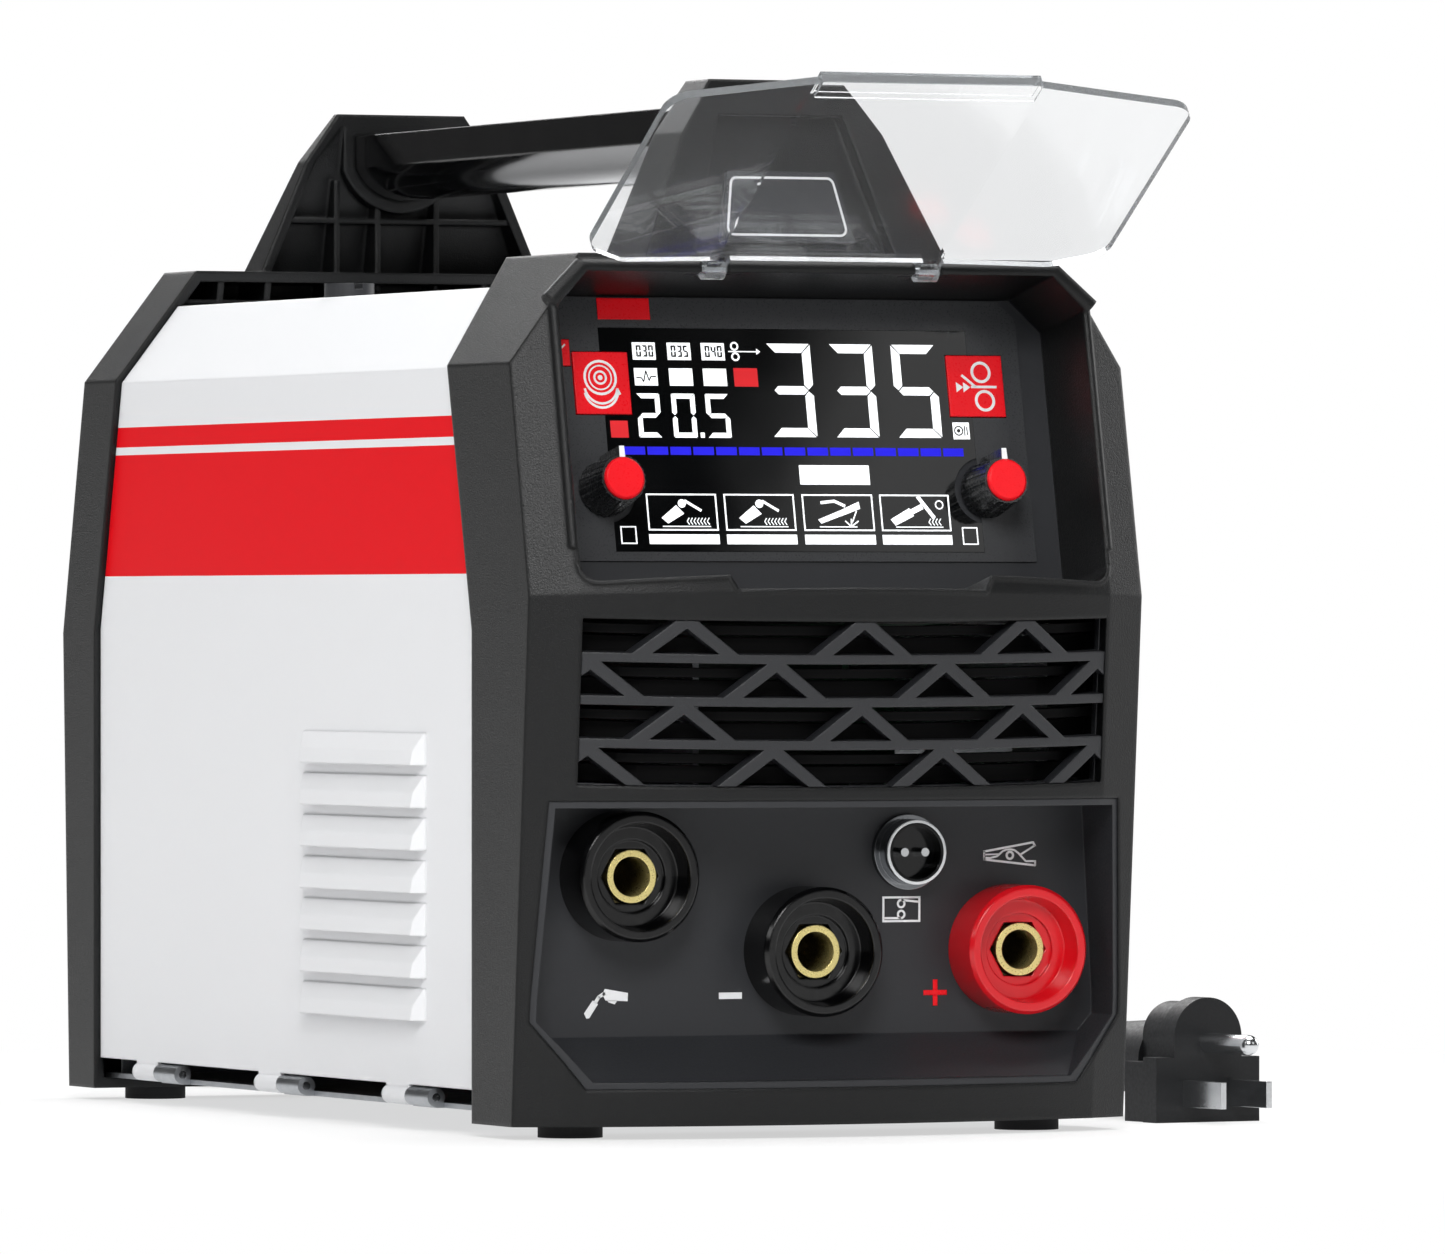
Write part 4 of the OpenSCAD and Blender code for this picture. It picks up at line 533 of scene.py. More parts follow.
# Keys, knob caps, the rocker and the tension lever are red ABS with a satin gloss.
red = start_material("red_abs", "#f0121f", 0.3, specular=0.25)
worn(red, 0.24, 0.38, size_mm=0.5, depth_mm=0.02, strength=0.25, edge_mm=0.5)
dress(red, "key_spool", "key_feed", "key_mode", "knob_left_cap", "knob_right_cap", "power_rocker",
      "tension_lever")

# The fluted knobs are a little greyer, so that their flutes show.
fluted = start_material("moulded_knob_nylon", "#17181a", 0.28, specular=0.8)
worn(fluted, 0.22, 0.32, size_mm=1.0, depth_mm=0.01, strength=0.05, detail=1.0)
dress(fluted, "knob_left", "knob_right")

panel_lean = math.radians(12.0)
kink_y, kink_z = -147.5, 124.4
panel_depth = 18.0


def face(x, d, v):
    """A point of the leaning front: x across, d mm behind the edge line, v mm up the lean from the kink."""
    y = kink_y + d * math.cos(panel_lean) + v * math.sin(panel_lean)
    z = kink_z - d * math.sin(panel_lean) + v * math.cos(panel_lean)
    return Vector((x * MM, y * MM + case_shift, z * MM))


def prism(mesh, outline, place, near, far):
    """Adds the solid between two depths of a convex outline to a bmesh."""
    front = [mesh.verts.new(place(x, near, v)) for x, v in outline]
    back = [mesh.verts.new(place(x, far, v)) for x, v in outline]
    mesh.faces.new(front)
    mesh.faces.new(reversed(back))
    count = len(outline)
    for i in range(count):
        j = (i + 1) % count
        mesh.faces.new((front[i], back[i], back[j], front[j]))


def printed_piece(name, outlines, place, near, far, material, body):
    """One object made of many flat outlines, such as the symbols of a display."""
    mesh = bmesh.new()
    for outline in outlines:
        prism(mesh, outline, place, near, far)
    bmesh.ops.recalc_face_normals(mesh, faces=mesh.faces)
    data = bpy.data.meshes.new(name)
    mesh.to_mesh(data)
    mesh.free()
    data.materials.append(material)
    obj = linked(name, data)
    return finish_piece(obj, body)


def rect(x0, v0, x1, v1):
    """The corners of a rectangle."""
    return [(x0, v0), (x1, v0), (x1, v1), (x0, v1)]


def border(x0, v0, x1, v1, t):
    """The four strips of a frame of width t."""
    return [rect(x0, v0, x1, v0 + t), rect(x0, v1 - t, x1, v1),
            rect(x0, v0 + t, x0 + t, v1 - t), rect(x1 - t, v0 + t, x1, v1 - t)]


def ring(x, v, r, t, n=24):
    """A ring of outer radius r and width t as short strips."""
    out = []
    for i in range(n):
        a, b = 2 * math.pi * i / n, 2 * math.pi * (i + 1) / n
        out.append([(x + (r - t) * math.cos(a), v + (r - t) * math.sin(a)),
                    (x + r * math.cos(a), v + r * math.sin(a)),
                    (x + r * math.cos(b), v + r * math.sin(b)),
                    (x + (r - t) * math.cos(b), v + (r - t) * math.sin(b))])
    return out


def disc(x, v, r, n=20):
    """A disc of radius r as one outline of n corners."""
    return [[(x + r * math.cos(2 * math.pi * i / n), v + r * math.sin(2 * math.pi * i / n)) for i in range(n)]]


def stroke(x0, v0, x1, v1, t):
    """A straight stroke of width t between two points."""
    dx, dv = x1 - x0, v1 - v0
    k = t / 2 / math.hypot(dx, dv)
    px, pv = -dv * k, dx * k
    return [(x0 + px, v0 + pv), (x0 - px, v0 - pv), (x1 - px, v1 - pv), (x1 + px, v1 + pv)]


# The lit segments of each figure, lettered clockwise from the top, with g in the middle.
SEGMENTS = {"0": "abcdef", "2": "abged", "3": "abgcd", "4": "fgbc", "5": "afgcd"}


def digit(char, x0, v0, x1, v1, t):
    """A seven-segment figure with square corners and mitred segments of width t."""
    mid = (v0 + v1) / 2
    gap = 0.07 * t
    tip = 1.4 * gap
    h = t / 2

    def level(v, sign):
        """The top or the bottom segment."""
        return [(x0 + tip, v), (x0 + t, v - sign * (t - gap)), (x1 - t, v - sign * (t - gap)), (x1 - tip, v)]

    def upright(x, sign, outer, inner, away):
        """A segment at the left or right, between an end of the figure and its middle."""
        return [(x, outer - away * tip), (x - sign * (t - gap), outer - away * t),
                (x - sign * (t - gap), inner + away * (h + gap)), (x - sign * h, inner + away * tip),
                (x, inner + away * (h + gap))]

    bar = [(x0 + h + gap, mid), (x0 + t, mid + h - gap), (x1 - t, mid + h - gap), (x1 - h - gap, mid),
           (x1 - t, mid - h + gap), (x0 + t, mid - h + gap)]
    shapes = {"a": level(v1, 1), "d": level(v0, -1), "g": bar,
              "f": upright(x0, -1, v1, mid, 1), "e": upright(x0, -1, v0, mid, -1),
              "b": upright(x1, 1, v1, mid, 1), "c": upright(x1, 1, v0, mid, -1)}
    return [shapes[s] for s in SEGMENTS[char]]


# Lit symbols: white, red and blue areas of the display that glow softly.
white_lit = start_material("lit_white_symbols", "#f4f6f8", 0.4, **{
    "Emission Color": linear("#f4f6f8"), "Emission Strength": 0.75})
blue_lit = start_material("lit_blue_bar", "#1b17b4", 0.4, specular=0.2, **{
    "Emission Color": linear("#2722dc"), "Emission Strength": 0.6})
red_lit = start_material("lit_red_symbols", "#d01a22", 0.4, **{
    "Emission Color": linear("#d01a22"), "Emission Strength": 0.35})
ink_near, ink_far = panel_depth - 0.2, panel_depth - 0.1

# Large figures on the right, small ones with their point on the left, and two rows of chips above those.
big_low, big_high, big_stroke = 41.5, 63.7, 2.3
small_low, small_high, small_stroke = 41.2, 51.6, 1.25
big_columns = ((-4.7, 6.5), (11.3, 22.4), (27.2, 38.5))
small_columns = ((-38.6, -32.8), (-29.8, -23.9), (-21.2, -15.3))
chip_h, chip_lows = 4.1, (59.6, 53.5)
white_shapes = []
for char, (left, right) in zip("335", big_columns):
    white_shapes += digit(char, left, big_low, right, big_high, big_stroke)
for char, (left, right) in zip("205", small_columns):
    white_shapes += digit(char, left, small_low, right, small_high, small_stroke)
white_shapes.append(rect(-23.1, small_low, -22.1, small_low + 1.2))
white_shapes += [rect(left, low, right, low + chip_h) for left, right in small_columns for low in chip_lows]
# A plain field below the large figures, and a square at their right.
white_shapes += [rect(1.1, 30.2, 18.9, 34.8), rect(41.4, 41.2, 45.6, 45.2)]

# Four tiles along the bottom, each over a plain bar, and a small box at either end.
tile_low, tile_high, tile_line = 19.2, 27.9, 0.35
bars_low, bars_high = 16.0, 18.3
tile_columns = ((-38.3, -20.6), (-18.7, -0.9), (1.1, 19.1), (20.9, 38.7))
for left, right in tile_columns:
    white_shapes += border(left, tile_low, right, tile_high, tile_line)
    white_shapes.append(rect(left, bars_low, right, bars_high))
for left in (-45.4, 41.4):
    white_shapes += border(left, bars_low, left + 4.0, bars_low + 4.2, 0.3)


def chevrons(x0, x1, count):
    """Spray marks: small arrow heads that point left, over a ground line."""
    out = [rect(3.7, 0.85, 15.8, 1.1)]
    for k in range(count):
        x = x0 + (x1 - x0) * k / count
        out += [stroke(x + 0.55, 3.0, x, 2.2, 0.22), stroke(x + 0.55, 1.4, x, 2.2, 0.22)]
    return out


# The tiles' icons: a torch twice, an electrode holder and a tungsten torch, drawn from a tile's corner.
torch_icon = [[(7.4, 6.0), (3.5, 3.0), (5.1, 1.65), (9.3, 4.0)], stroke(9.6, 7.1, 13.7, 4.7, 0.6)]
torch_icon += disc(8.9, 6.4, 1.0) + chevrons(9.9, 15.8, 7)
holder_icon = [[(3.75, 2.7), (4.5, 1.75), (9.6, 3.5), (9.2, 4.8)],
               [(9.3, 4.8), (9.7, 3.5), (14.7, 5.3), (14.4, 7.0)],
               stroke(4.7, 6.7, 8.4, 7.1, 0.7), stroke(8.4, 7.0, 10.9, 5.9, 0.7),
               stroke(13.7, 4.8, 12.4, 2.1, 0.3), stroke(10.6, 2.4, 11.9, 1.2, 0.3),
               stroke(12.2, 2.9, 12.1, 1.2, 0.3), stroke(14.0, 2.4, 12.3, 1.2, 0.3),
               rect(4.0, 0.85, 13.6, 1.1)]
tungsten_icon = [[(2.45, 2.8), (3.6, 1.3), (8.5, 3.6), (7.4, 5.5)], stroke(7.6, 4.4, 10.8, 5.9, 1.3),
                 stroke(9.8, 8.3, 13.7, 3.1, 0.9)] + ring(15.2, 6.3, 1.1, 0.3, 14) + chevrons(12.2, 15.6, 4)
for (left, right), icon in zip(tile_columns, (torch_icon, torch_icon, holder_icon, tungsten_icon)):
    white_shapes += [[(left + x, tile_low + v) for x, v in shape] for shape in icon]
white_shapes += ring(-12.7, 63.0, 1.05, 0.4, 14) + ring(-12.6, 60.5, 1.05, 0.4, 14)
white_shapes += [rect(-14.3, 61.6, -7.2, 61.85), [(-7.2, 61.0), (-6.2, 61.72), (-7.2, 62.45)]]
printed_piece("display_white", white_shapes, face, ink_near, ink_far, white_lit, "case")

# Dark figures and a wave on the lit chips.
dark_shapes = []
tiny_w, tiny_pitch = 1.2, 1.55
for (left, right), figures in zip(small_columns, ("030", "035", "040")):
    for k, figure in enumerate(figures):
        start = left + 0.9 + tiny_pitch * k
        dark_shapes += digit(figure, start, 60.3, start + tiny_w, 63.0, 0.4)
wave = [(-38.2, 55.3), (-36.9, 55.3), (-36.4, 54.3), (-35.7, 57.0), (-35.0, 54.6), (-34.5, 55.6), (-33.2, 55.6)]
dark_shapes += [stroke(*a, *b, 0.25) for a, b in zip(wave, wave[1:])]
dark_shapes += ring(42.8, 43.2, 1.2, 0.3, 14) + disc(42.8, 43.2, 0.45)
dark_shapes += [rect(44.2, 42.0, 44.45, 44.4), rect(44.85, 42.2, 45.1, 44.2)]
printed_piece("display_dark", dark_shapes, face, ink_near - 0.1, ink_near, window, "case")

# The blue bar is a row of like segments, repeated along a line.
bar_tree, bar_in, bar_out = node_group("bar_segments", [
    ("Count", "Int"), ("Pitch", "Float"), ("Segment", "Vector")])
bar_step = add(bar_tree, "ShaderNodeCombineXYZ", None, {0: bar_in.outputs["Pitch"], 1: 0.0, 2: 0.0})
bar_line = add(bar_tree, "GeometryNodeMeshLine", {"mode": "OFFSET"}, {
    "Count": bar_in.outputs["Count"], "Offset": bar_step.outputs[0]})
bar_block = add(bar_tree, "GeometryNodeMeshCube", None, {"Size": bar_in.outputs["Segment"]})
bar_copies = add(bar_tree, "GeometryNodeInstanceOnPoints", None, {
    "Points": bar_line.outputs[0], "Instance": bar_block.outputs[0]})
close_group(bar_tree, bar_out, bar_copies.outputs[0], blue_lit)
bar_count, bar_pitch, bar_size = 15, 5.79, Vector((5.2, 0.1, 1.9))
bar_left, bar_v = -40.1, 38.05
display_bar = grown("display_bar", bar_tree, [(0, 0, 0)], {
    "Count": bar_count, "Pitch": bar_pitch * MM, "Segment": tuple(bar_size * MM)})
display_bar.data.transform(Matrix.Translation(face(bar_left, (ink_near + ink_far) / 2, bar_v))
                           @ Matrix.Rotation(-panel_lean, 4, "X"))
finish_piece(display_bar, "case")

# Two red areas of the display, and a small red label above the window.
printed_piece("display_red", [rect(-45.7, 41.1, -41.3, 45.1), rect(-13.4, 53.4, -7.4, 57.8)], face,
              ink_near, ink_far, red_lit, "case")
printed_piece("panel_label", [rect(-46.6, 69.1, -33.4, 74.2)], face, ink_near, ink_far, red, "case")

# White screen ink for the keys, the knobs, the badge plate and the socket panel. It is screen_ink thick on a
# flat plate, and dull.
key_ink_near, key_ink_far = panel_depth - 0.5, panel_depth - 0.4
screen_ink = 0.12
white_ink = start_material("white_screen_ink", "#f1f2f3", 0.5)
worn(white_ink, 0.42, 0.58, size_mm=0.3, depth_mm=0.01, strength=0.2)


def arc(x, v, r, t, start, end, n=14):
    """Part of a ring between two angles in degrees."""
    spread = [math.radians(start + (end - start) * k / n) for k in range(n + 1)]
    return [[(x + (r - t) * math.cos(a), v + (r - t) * math.sin(a)), (x + r * math.cos(a), v + r * math.sin(a)),
             (x + r * math.cos(b), v + r * math.sin(b)), (x + (r - t) * math.cos(b), v + (r - t) * math.sin(b))]
            for a, b in zip(spread, spread[1:])]


# The left key's symbol: a spool over two arcs, with a short tail of wire.
spool_x, spool_v = -47.4, 55.2
spool_symbol = ring(spool_x, spool_v, 4.2, 0.6) + ring(spool_x, spool_v, 3.0, 0.35)
spool_symbol += ring(spool_x, spool_v, 1.7, 0.5) + disc(spool_x, spool_v, 0.6)
spool_symbol += arc(spool_x, spool_v - 2.0, 4.4, 0.55, 188, 352)
spool_symbol += arc(spool_x, spool_v - 2.9, 4.5, 0.55, 190, 350) + [stroke(-43.4, 52.6, -42.7, 51.2, 0.6)]
printed_piece("key_spool_symbol", spool_symbol, face, key_ink_near, key_ink_far, white_ink, "key_spool")

# The right key's symbol: two rolls with wire between them, and two arrow heads.
feed_symbol = ring(49.7, 57.2, 2.6, 0.7) + ring(50.2, 50.4, 2.6, 0.7)
feed_symbol += [rect(46.9, 53.4, 53.5, 54.0), stroke(44.7, 56.5, 48.1, 53.7, 0.6),
                [(43.1, 52.4), (44.9, 53.6), (43.1, 54.8)], [(44.9, 52.4), (46.7, 53.6), (44.9, 54.8)]]
printed_piece("key_feed_symbol", feed_symbol, face, key_ink_near, key_ink_far, white_ink, "key_feed")

# The small key at the left has one slanting stroke.
printed_piece("key_mode_symbol", [stroke(-59.4, 59.2, -55.6, 63.0, 0.4)], face, key_ink_near, key_ink_far,
              white_ink, "key_mode")

# Each knob has a white pointer on its end face, beyond its red cap.
knob_h, knob_v = 11.6, 28.9
knob_face = panel_depth - knob_h
pointer_low, pointer_high = knob_v + 5.05, knob_v + 7.65
for knob, knob_x in (("knob_left", -48.5), ("knob_right", 48.5)):
    pointer = [[(knob_x - 0.7, pointer_low), (knob_x + 0.7, pointer_low), (knob_x + 0.6, pointer_high),
                (knob_x - 0.6, pointer_high)]]
    printed_piece(knob + "_pointer", pointer, face, knob_face - 0.15, knob_face + 0.1, white_ink, knob)

# ---- badge plate ----
# A bare plate, lacquered dark grey, lies in the front tower's sloping pocket. It carries nothing but a thin
# line, screen-printed round its border with rounded corners.
badge = start_material("lacquered_grey_plate", "#36373a", 0.35)
worn(badge, 0.28, 0.42, size_mm=1.2, depth_mm=0.02, strength=0.2)
dress(badge, "badge_plate")
badge_y, badge_z = -120.818, 200.2
badge_lean = math.radians(15.0)


def on_badge(x, d, v):
    """A point d mm behind the plate's sloping face, at height v."""
    return in_case(x, badge_y + (v - badge_z) * math.tan(badge_lean) + d, v)


badge_corners = [(-15.4, 208.8), (15.4, 208.8), (12.9, 222.2), (-12.9, 222.2)]
corner_r, border_w = 1.6, 0.55
badge_line = rounded([(x, z, corner_r) for x, z in badge_corners])
badge_strokes = [stroke(*a, *b, border_w) for a, b in zip(badge_line, badge_line[1:] + badge_line[:1])]
printed_piece("badge_border", badge_strokes, on_badge, -screen_ink, 0.0, white_ink, "case")

# ---- sockets ----
# Collars of glass-filled nylon, two black and one red, hold turned brass sockets with a hexagon behind the
# mouth. A small nickel-plated control socket stands between them, on a panel with screen-printed symbols.
nylon = start_material("glass_filled_nylon", "#040405", 0.16, specular=0.5)
worn(nylon, 0.13, 0.19, size_mm=2.0, depth_mm=0.01, strength=0.05, detail=1.0, edge_mm=0.6)
dress(nylon, "black_collars")

# Turned brass: pale yellow at the mouth, and darkened by painted shade down in the bores, where little light
# reaches.
brass = start_material("turned_brass", "#f3e4a2", 0.3, 0.8)
worn(brass, 0.24, 0.38, size_mm=0.5, depth_mm=0.01, strength=0.2, edge_mm=0.3)
brass_tree, brass_shader = tree_and_shader(brass)
bore_depth = 14.0
# An occlusion mask mixes a dark brown into the colour as painted shade wherever the bore walls close in.
bore_open = add(brass_tree, "ShaderNodeAmbientOcclusion", {"samples": 16}, {"Distance": bore_depth * MM})
bore_painted_shade = add(brass_tree, "ShaderNodeMapRange", None, {
    "Value": bore_open.outputs["AO"], "From Min": 0.1, "From Max": 0.4, "To Min": 0.0, "To Max": 1.0})
brass_with_painted_shade = add(brass_tree, "ShaderNodeMix", {"data_type": "RGBA"}, {
    0: bore_painted_shade.outputs[0], 6: linear("#3b321c"), 7: linear("#f7e59a")})
brass_tree.links.new(brass_with_painted_shade.outputs[2], brass_shader.inputs["Base Color"])
dress(brass, "torch_socket", "minus_socket", "plus_socket")

# The plus collar is the same nylon, dyed red and a little duller.
red_nylon = start_material("red_nylon", "#cf101c", 0.2, specular=0.6)
worn(red_nylon, 0.16, 0.24, size_mm=2.0, depth_mm=0.01, strength=0.05, detail=1.0, edge_mm=0.6)
dress(red_nylon, "red_collar")

# The control socket's shell carries painted light: a painted highlight on its outer lip, painted shade in mid
# grey on its outer side, and painted shade, near black, on the inner part of its face and inside.
control_x, control_z, control_highlight_r = 25.2, 65.0, 6.85
lip_y, pin_y = -135.6, -132.05
nickel = start_material("bright_nickel", "#d6d8da", 0.14, 1.0)
worn(nickel, 0.1, 0.2, size_mm=0.5, depth_mm=0.01, strength=0.1, edge_mm=0.3)
nickel_tree, nickel_shader = tree_and_shader(nickel)
nickel_place = add(nickel_tree, "ShaderNodeTexCoord")
nickel_xyz = add(nickel_tree, "ShaderNodeSeparateXYZ", None, {"Vector": nickel_place.outputs["Object"]})
# The outer lip at the front is a painted highlight: near white and less metallic, so it reads bright.
painted_highlight_lip = add(nickel_tree, "ShaderNodeMath", {"operation": "LESS_THAN"}, {
    0: nickel_xyz.outputs["Y"], 1: lip_y * MM + case_shift})
lip_highlight_metallic = add(nickel_tree, "ShaderNodeMapRange", None, {
    "Value": painted_highlight_lip.outputs[0], "To Min": 1.0, "To Max": 0.45})
nickel_tree.links.new(lip_highlight_metallic.outputs[0], nickel_shader.inputs["Metallic"])
nickel_offset = add(nickel_tree, "ShaderNodeVectorMath", {"operation": "SUBTRACT"}, {
    0: nickel_place.outputs["Object"], 1: in_case(control_x, 0, control_z)})
nickel_flat = add(nickel_tree, "ShaderNodeVectorMath", {"operation": "MULTIPLY"}, {
    0: nickel_offset.outputs[0], 1: (1.0, 0.0, 1.0)})
nickel_radius = add(nickel_tree, "ShaderNodeVectorMath", {"operation": "LENGTH"}, {0: nickel_flat.outputs[0]})
# Within the highlight's radius the shell's face and bore get painted shade, near black.
nickel_painted_shade_inside = add(nickel_tree, "ShaderNodeMath", {"operation": "LESS_THAN"}, {
    0: nickel_radius.outputs["Value"], 1: control_highlight_r * MM})
# Behind the lip the outer side gets painted shade in mid grey; the lip gets the painted highlight.
nickel_highlight_and_shade = add(nickel_tree, "ShaderNodeMix", {"data_type": "RGBA"}, {
    0: painted_highlight_lip.outputs[0], 6: linear("#85878a"), 7: linear("#eceef0")})
nickel_painted_light = add(nickel_tree, "ShaderNodeMix", {"data_type": "RGBA"}, {
    0: nickel_painted_shade_inside.outputs[0], 6: nickel_highlight_and_shade.outputs[2], 7: linear("#101112")})
nickel_tree.links.new(nickel_painted_light.outputs[2], nickel_shader.inputs["Base Color"])
dress(nickel, "control_socket")

# The control socket's insert is glossy black; its two pins, in front of it, are silver.
insert_black, pin_silver = "#0b0c0d", "#dcdee0"
insert = start_material("glossy_insert", insert_black, 0.15)
insert_tree, insert_shader = tree_and_shader(insert)
insert_place = add(insert_tree, "ShaderNodeTexCoord")
insert_xyz = add(insert_tree, "ShaderNodeSeparateXYZ", None, {"Vector": insert_place.outputs["Object"]})
pin_end = add(insert_tree, "ShaderNodeMath", {"operation": "LESS_THAN"}, {
    0: insert_xyz.outputs["Y"], 1: pin_y * MM + case_shift})
insert_tint = add(insert_tree, "ShaderNodeMix", {"data_type": "RGBA"}, {
    0: pin_end.outputs[0], 6: linear(insert_black), 7: linear(pin_silver)})
insert_tree.links.new(insert_tint.outputs[2], insert_shader.inputs["Base Color"])
insert_tree.links.new(pin_end.outputs[0], insert_shader.inputs["Metallic"])
dress(insert, "control_pins")

# Symbols screen-printed on the socket panel: torch, minus, plus, earth clamp and wire feeder.
socket_panel_y = -130.0


def on_socket_panel(x, d, v):
    """A point d mm behind the face of the socket panel."""
    return in_case(x, socket_panel_y + d, v)


torch_symbol = [[(-56.3, 28.5), (-55.7, 27.3), (-55.0, 27.4), (-52.8, 30.6), (-54.1, 31.5)],
                stroke(-53.5, 30.9, -52.5, 32.4, 0.8), stroke(-52.7, 32.2, -51.1, 33.1, 0.8),
                [(-51.1, 34.1), (-45.3, 33.1), (-45.4, 31.2), (-50.9, 31.4), (-51.7, 32.8)],
                [(-50.5, 31.5), (-48.0, 31.4), (-48.6, 30.5), (-50.2, 31.0)]]
clamp_line = [(58.3, 62.6), (55.9, 62.6), (54.0, 64.5), (53.0, 65.2), (51.9, 65.4), (50.8, 65.3),
              (50.0, 65.0), (48.5, 63.8), (46.7, 63.4), (45.2, 63.5)]
clamp_symbol = [stroke(45.0, 64.9, 57.8, 67.0, 0.5), stroke(57.7, 67.1, 58.3, 66.1, 0.5),
                stroke(58.3, 66.3, 54.6, 64.2, 0.45), stroke(45.2, 65.1, 45.2, 62.9, 0.5),
                stroke(45.0, 63.1, 58.4, 61.6, 0.5), stroke(58.3, 61.5, 58.3, 62.8, 0.45),
                stroke(45.2, 64.2, 49.0, 64.3, 0.35)]
clamp_symbol += [stroke(*a, *b, 0.45) for a, b in zip(clamp_line, clamp_line[1:])]
clamp_symbol += ring(51.8, 64.0, 1.1, 0.55, 16)
feeder_symbol = border(19.1, 48.7, 28.8, 54.7, 0.5) + ring(23.9, 53.0, 1.1, 0.5, 16)
feeder_symbol += ring(23.9, 50.5, 1.1, 0.5, 16)
feeder_symbol += [stroke(23.9, 53.85, 28.4, 53.4, 0.5), rect(19.5, 49.4, 23.9, 49.9)]
minus_symbol = [rect(-22.4, 31.4, -16.6, 32.9)]
printed_piece("socket_symbols", torch_symbol + clamp_symbol + feeder_symbol + minus_symbol, on_socket_panel,
              -screen_ink, 0.0, white_ink, "case")
plus_symbol = [rect(29.6, 31.65, 35.6, 32.85), rect(32.0, 29.2, 33.2, 31.65), rect(32.0, 32.85, 33.2, 35.3)]
printed_piece("plus_symbol", plus_symbol, on_socket_panel, -screen_ink, 0.0, red, "case")

# ---- wire drive and power parts ----
# Copper-washed welding wire runs from its spool, on a spindle of natural nylon, to the torch socket. Behind
# the bulkhead stand an extruded aluminium heat sink and a laminated transformer.
# The wire has a bright reddish gleam; nylon and iron are dull, and the extrusion shows a fine drawn grain.
copper = start_material("copper_washed_wire", "#b8714a", 0.3, 1.0)
grain(copper, size_mm=1.0, depth_mm=0.02, strength=0.2)
dress(copper, "wire_winding", "wire_strand")
natural = start_material("natural_nylon", "#e2e1da", 0.5)
grain(natural, size_mm=1.0, depth_mm=0.03, strength=0.3)
dress(natural, "spindle")
aluminium = start_material("extruded_aluminium", "#c9cbce", 0.35, 1.0)
grain(aluminium, size_mm=0.8, depth_mm=0.02, strength=0.3)
dress(aluminium, "heat_sink")
iron = start_material("laminated_iron", "#4b4c50", 0.5, 0.8)
grain(iron, size_mm=0.7, depth_mm=0.05, strength=0.5)
dress(iron, "transformer")

# ---- floor and light ----
# A white floor keeps the machine's soft shadow. Large soft lamps stand at the left, above, in front, behind
# and at the right; a white backdrop closes the view behind the machine.
floor_data = bpy.data.meshes.new("studio_floor")
floor_data.from_pydata([(-6, -6, 0), (6, -6, 0), (6, 8, 0), (-6, 8, 0)], [], [(0, 1, 2, 3)])
studio_floor = linked("studio_floor", floor_data)
# Seen straight or mirrored, the floor shines white, and fades near the machine to let its shadow show.
white_floor = bpy.data.materials.new("white_studio_floor")
floor_tree = bare_tree(white_floor)
floor_path = add(floor_tree, "ShaderNodeLightPath")
floor_clear = add(floor_tree, "ShaderNodeMath", {"operation": "MAXIMUM"}, {
    0: floor_path.outputs["Is Camera Ray"], 1: floor_path.outputs["Is Transmission Ray"]})
floor_seen = add(floor_tree, "ShaderNodeMath", {"operation": "MAXIMUM"}, {
    0: floor_clear.outputs[0], 1: floor_path.outputs["Is Glossy Ray"]})
floor_place = add(floor_tree, "ShaderNodeTexCoord")
floor_far = add(floor_tree, "ShaderNodeVectorMath", {"operation": "LENGTH"}, {0: floor_place.outputs["Object"]})
floor_fade = add(floor_tree, "ShaderNodeMapRange", {"interpolation_type": "SMOOTHSTEP"}, {
    "Value": floor_far.outputs["Value"], "From Min": 0.16, "From Max": 0.5, "To Min": 0.6, "To Max": 1.0})
floor_share = add(floor_tree, "ShaderNodeMath", {"operation": "MULTIPLY"}, {
    0: floor_seen.outputs[0], 1: floor_fade.outputs[0]})
floor_base = add(floor_tree, "ShaderNodeBsdfDiffuse", None, {"Color": linear("#f2f2f2")})
floor_glow = add(floor_tree, "ShaderNodeEmission", None, {"Color": (1, 1, 1, 1), "Strength": 1.0})
floor_mix = add(floor_tree, "ShaderNodeMixShader", None, {
    0: floor_share.outputs[0], 1: floor_base.outputs[0], 2: floor_glow.outputs[0]})
add(floor_tree, "ShaderNodeOutputMaterial", None, {"Surface": floor_mix.outputs[0]})
floor_data.materials.append(white_floor)


def soft_lamp(name, place, target, size, power):
    """A square area lamp turned to a point."""
    data = bpy.data.lights.new(name, "AREA")
    data.shape = "SQUARE"
    data.size = size
    data.energy = power
    lamp = linked(name, data)
    lamp.location = place
    lamp.rotation_euler = (Vector(target) - Vector(place)).to_track_quat("-Z", "Y").to_euler()


# Each lamp's place and target in m, its size in m and its power in W.
soft_lamp("left_softbox", (-2.2, -0.6, 1.4), (0, 0, 0.12), 1.2, 11)
soft_lamp("top_softbox", (0.3, 0.1, 2.0), (0, 0, 0.15), 1.6, 38)
soft_lamp("front_softbox", (-1.0, -2.2, 1.6), (0, -0.1, 0.12), 1.0, 50)
soft_lamp("back_softbox", (0.35, 2.3, 1.5), (0, 0, 0.2), 1.1, 20)
soft_lamp("right_softbox", (2.2, 0.4, 0.8), (0, 0, 0.12), 1.2, 14)

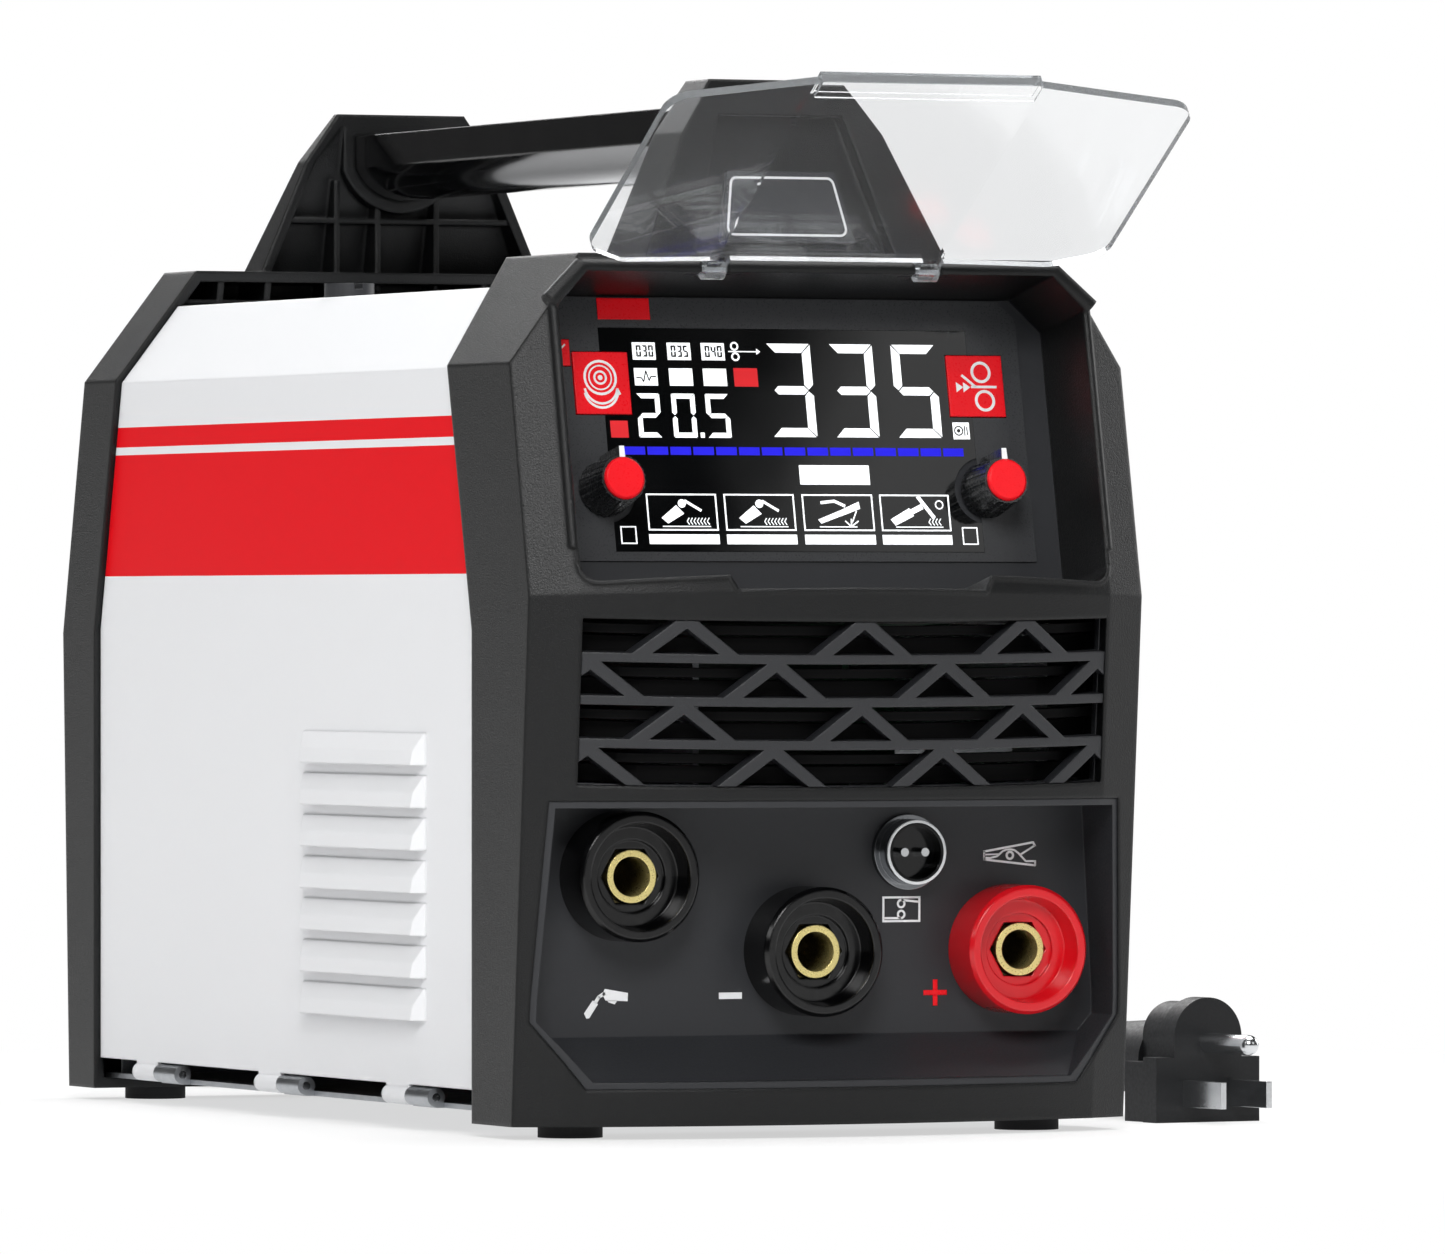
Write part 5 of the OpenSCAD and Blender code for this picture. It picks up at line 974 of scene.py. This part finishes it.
# A dim card in front, seen only as a reflection, lights part of the glossy window along a slanting edge.
card_mid = Vector((0.626, -1.358 + case_shift, 0.744))
card_up = Vector((0.380, 0.300, 0.876)) * 0.25
card_out = Vector((0.839, 0.216, -0.438)) * 0.5
card_data = bpy.data.meshes.new("reflection_card")
card_data.from_pydata([card_mid - card_up, card_mid + card_up, card_mid + card_up + card_out,
                       card_mid - card_up + card_out], [], [(0, 1, 2, 3)])
reflection_card = linked("reflection_card", card_data)
for ray_kind in ("camera", "diffuse", "shadow", "volume_scatter"):
    setattr(reflection_card, "visible_" + ray_kind, False)
card_material = bpy.data.materials.new("reflection_card")
card_tree = bare_tree(card_material)
card_glow = add(card_tree, "ShaderNodeEmission", None, {"Color": (1, 1, 1, 1), "Strength": 1.5})
add(card_tree, "ShaderNodeOutputMaterial", None, {"Surface": card_glow.outputs[0]})
card_data.materials.append(card_material)

world = bpy.data.worlds.new("studio_air")
bpy.context.scene.world = world
world_tree = bare_tree(world)
world_path = add(world_tree, "ShaderNodeLightPath")
world_clear = add(world_tree, "ShaderNodeMath", {"operation": "MAXIMUM"}, {
    0: world_path.outputs["Is Transmission Ray"], 1: world_path.outputs["Is Glossy Ray"]})
world_seen = add(world_tree, "ShaderNodeMath", {"operation": "MAXIMUM"}, {
    0: world_clear.outputs[0], 1: world_path.outputs["Is Camera Ray"]})
# A white backdrop stands behind; the room round the object, as its faces reflect it, is dim.
world_place = add(world_tree, "ShaderNodeTexCoord")
world_ahead = add(world_tree, "ShaderNodeVectorMath", {"operation": "DOT_PRODUCT"}, {
    0: world_place.outputs["Generated"], 1: (math.sin(view_turn), math.cos(view_turn), 0.0)})
world_backdrop = add(world_tree, "ShaderNodeMapRange", {"interpolation_type": "SMOOTHSTEP"}, {
    "Value": world_ahead.outputs["Value"], "From Min": 0.74, "From Max": 0.97, "To Min": 0.06, "To Max": 1.0})
world_xyz = add(world_tree, "ShaderNodeSeparateXYZ", None, {"Vector": world_place.outputs["Generated"]})
world_low = add(world_tree, "ShaderNodeMapRange", {"interpolation_type": "SMOOTHSTEP"}, {
    "Value": world_xyz.outputs["Z"], "From Min": 0.08, "From Max": 0.4, "To Min": 1.0, "To Max": 0.2})
world_band = add(world_tree, "ShaderNodeMath", {"operation": "MULTIPLY"}, {
    0: world_backdrop.outputs[0], 1: world_low.outputs[0]})
world_straight = add(world_tree, "ShaderNodeMath", {"operation": "MAXIMUM"}, {
    0: world_path.outputs["Is Camera Ray"], 1: world_path.outputs["Is Transmission Ray"]})
world_level = add(world_tree, "ShaderNodeMath", {"operation": "MAXIMUM"}, {
    0: world_band.outputs[0], 1: world_straight.outputs[0]})
world_air = add(world_tree, "ShaderNodeBackground", None, {"Color": (1, 1, 1, 1), "Strength": 0.14})
world_white = add(world_tree, "ShaderNodeBackground", None, {
    "Color": (1, 1, 1, 1), "Strength": world_level.outputs[0]})
world_mix = add(world_tree, "ShaderNodeMixShader", None, {
    0: world_seen.outputs[0], 1: world_air.outputs[0], 2: world_white.outputs[0]})
add(world_tree, "ShaderNodeOutputWorld", None, {"Surface": world_mix.outputs[0]})
bpy.context.scene.view_settings.view_transform = "Standard"

bpy.context.view_layer.update()
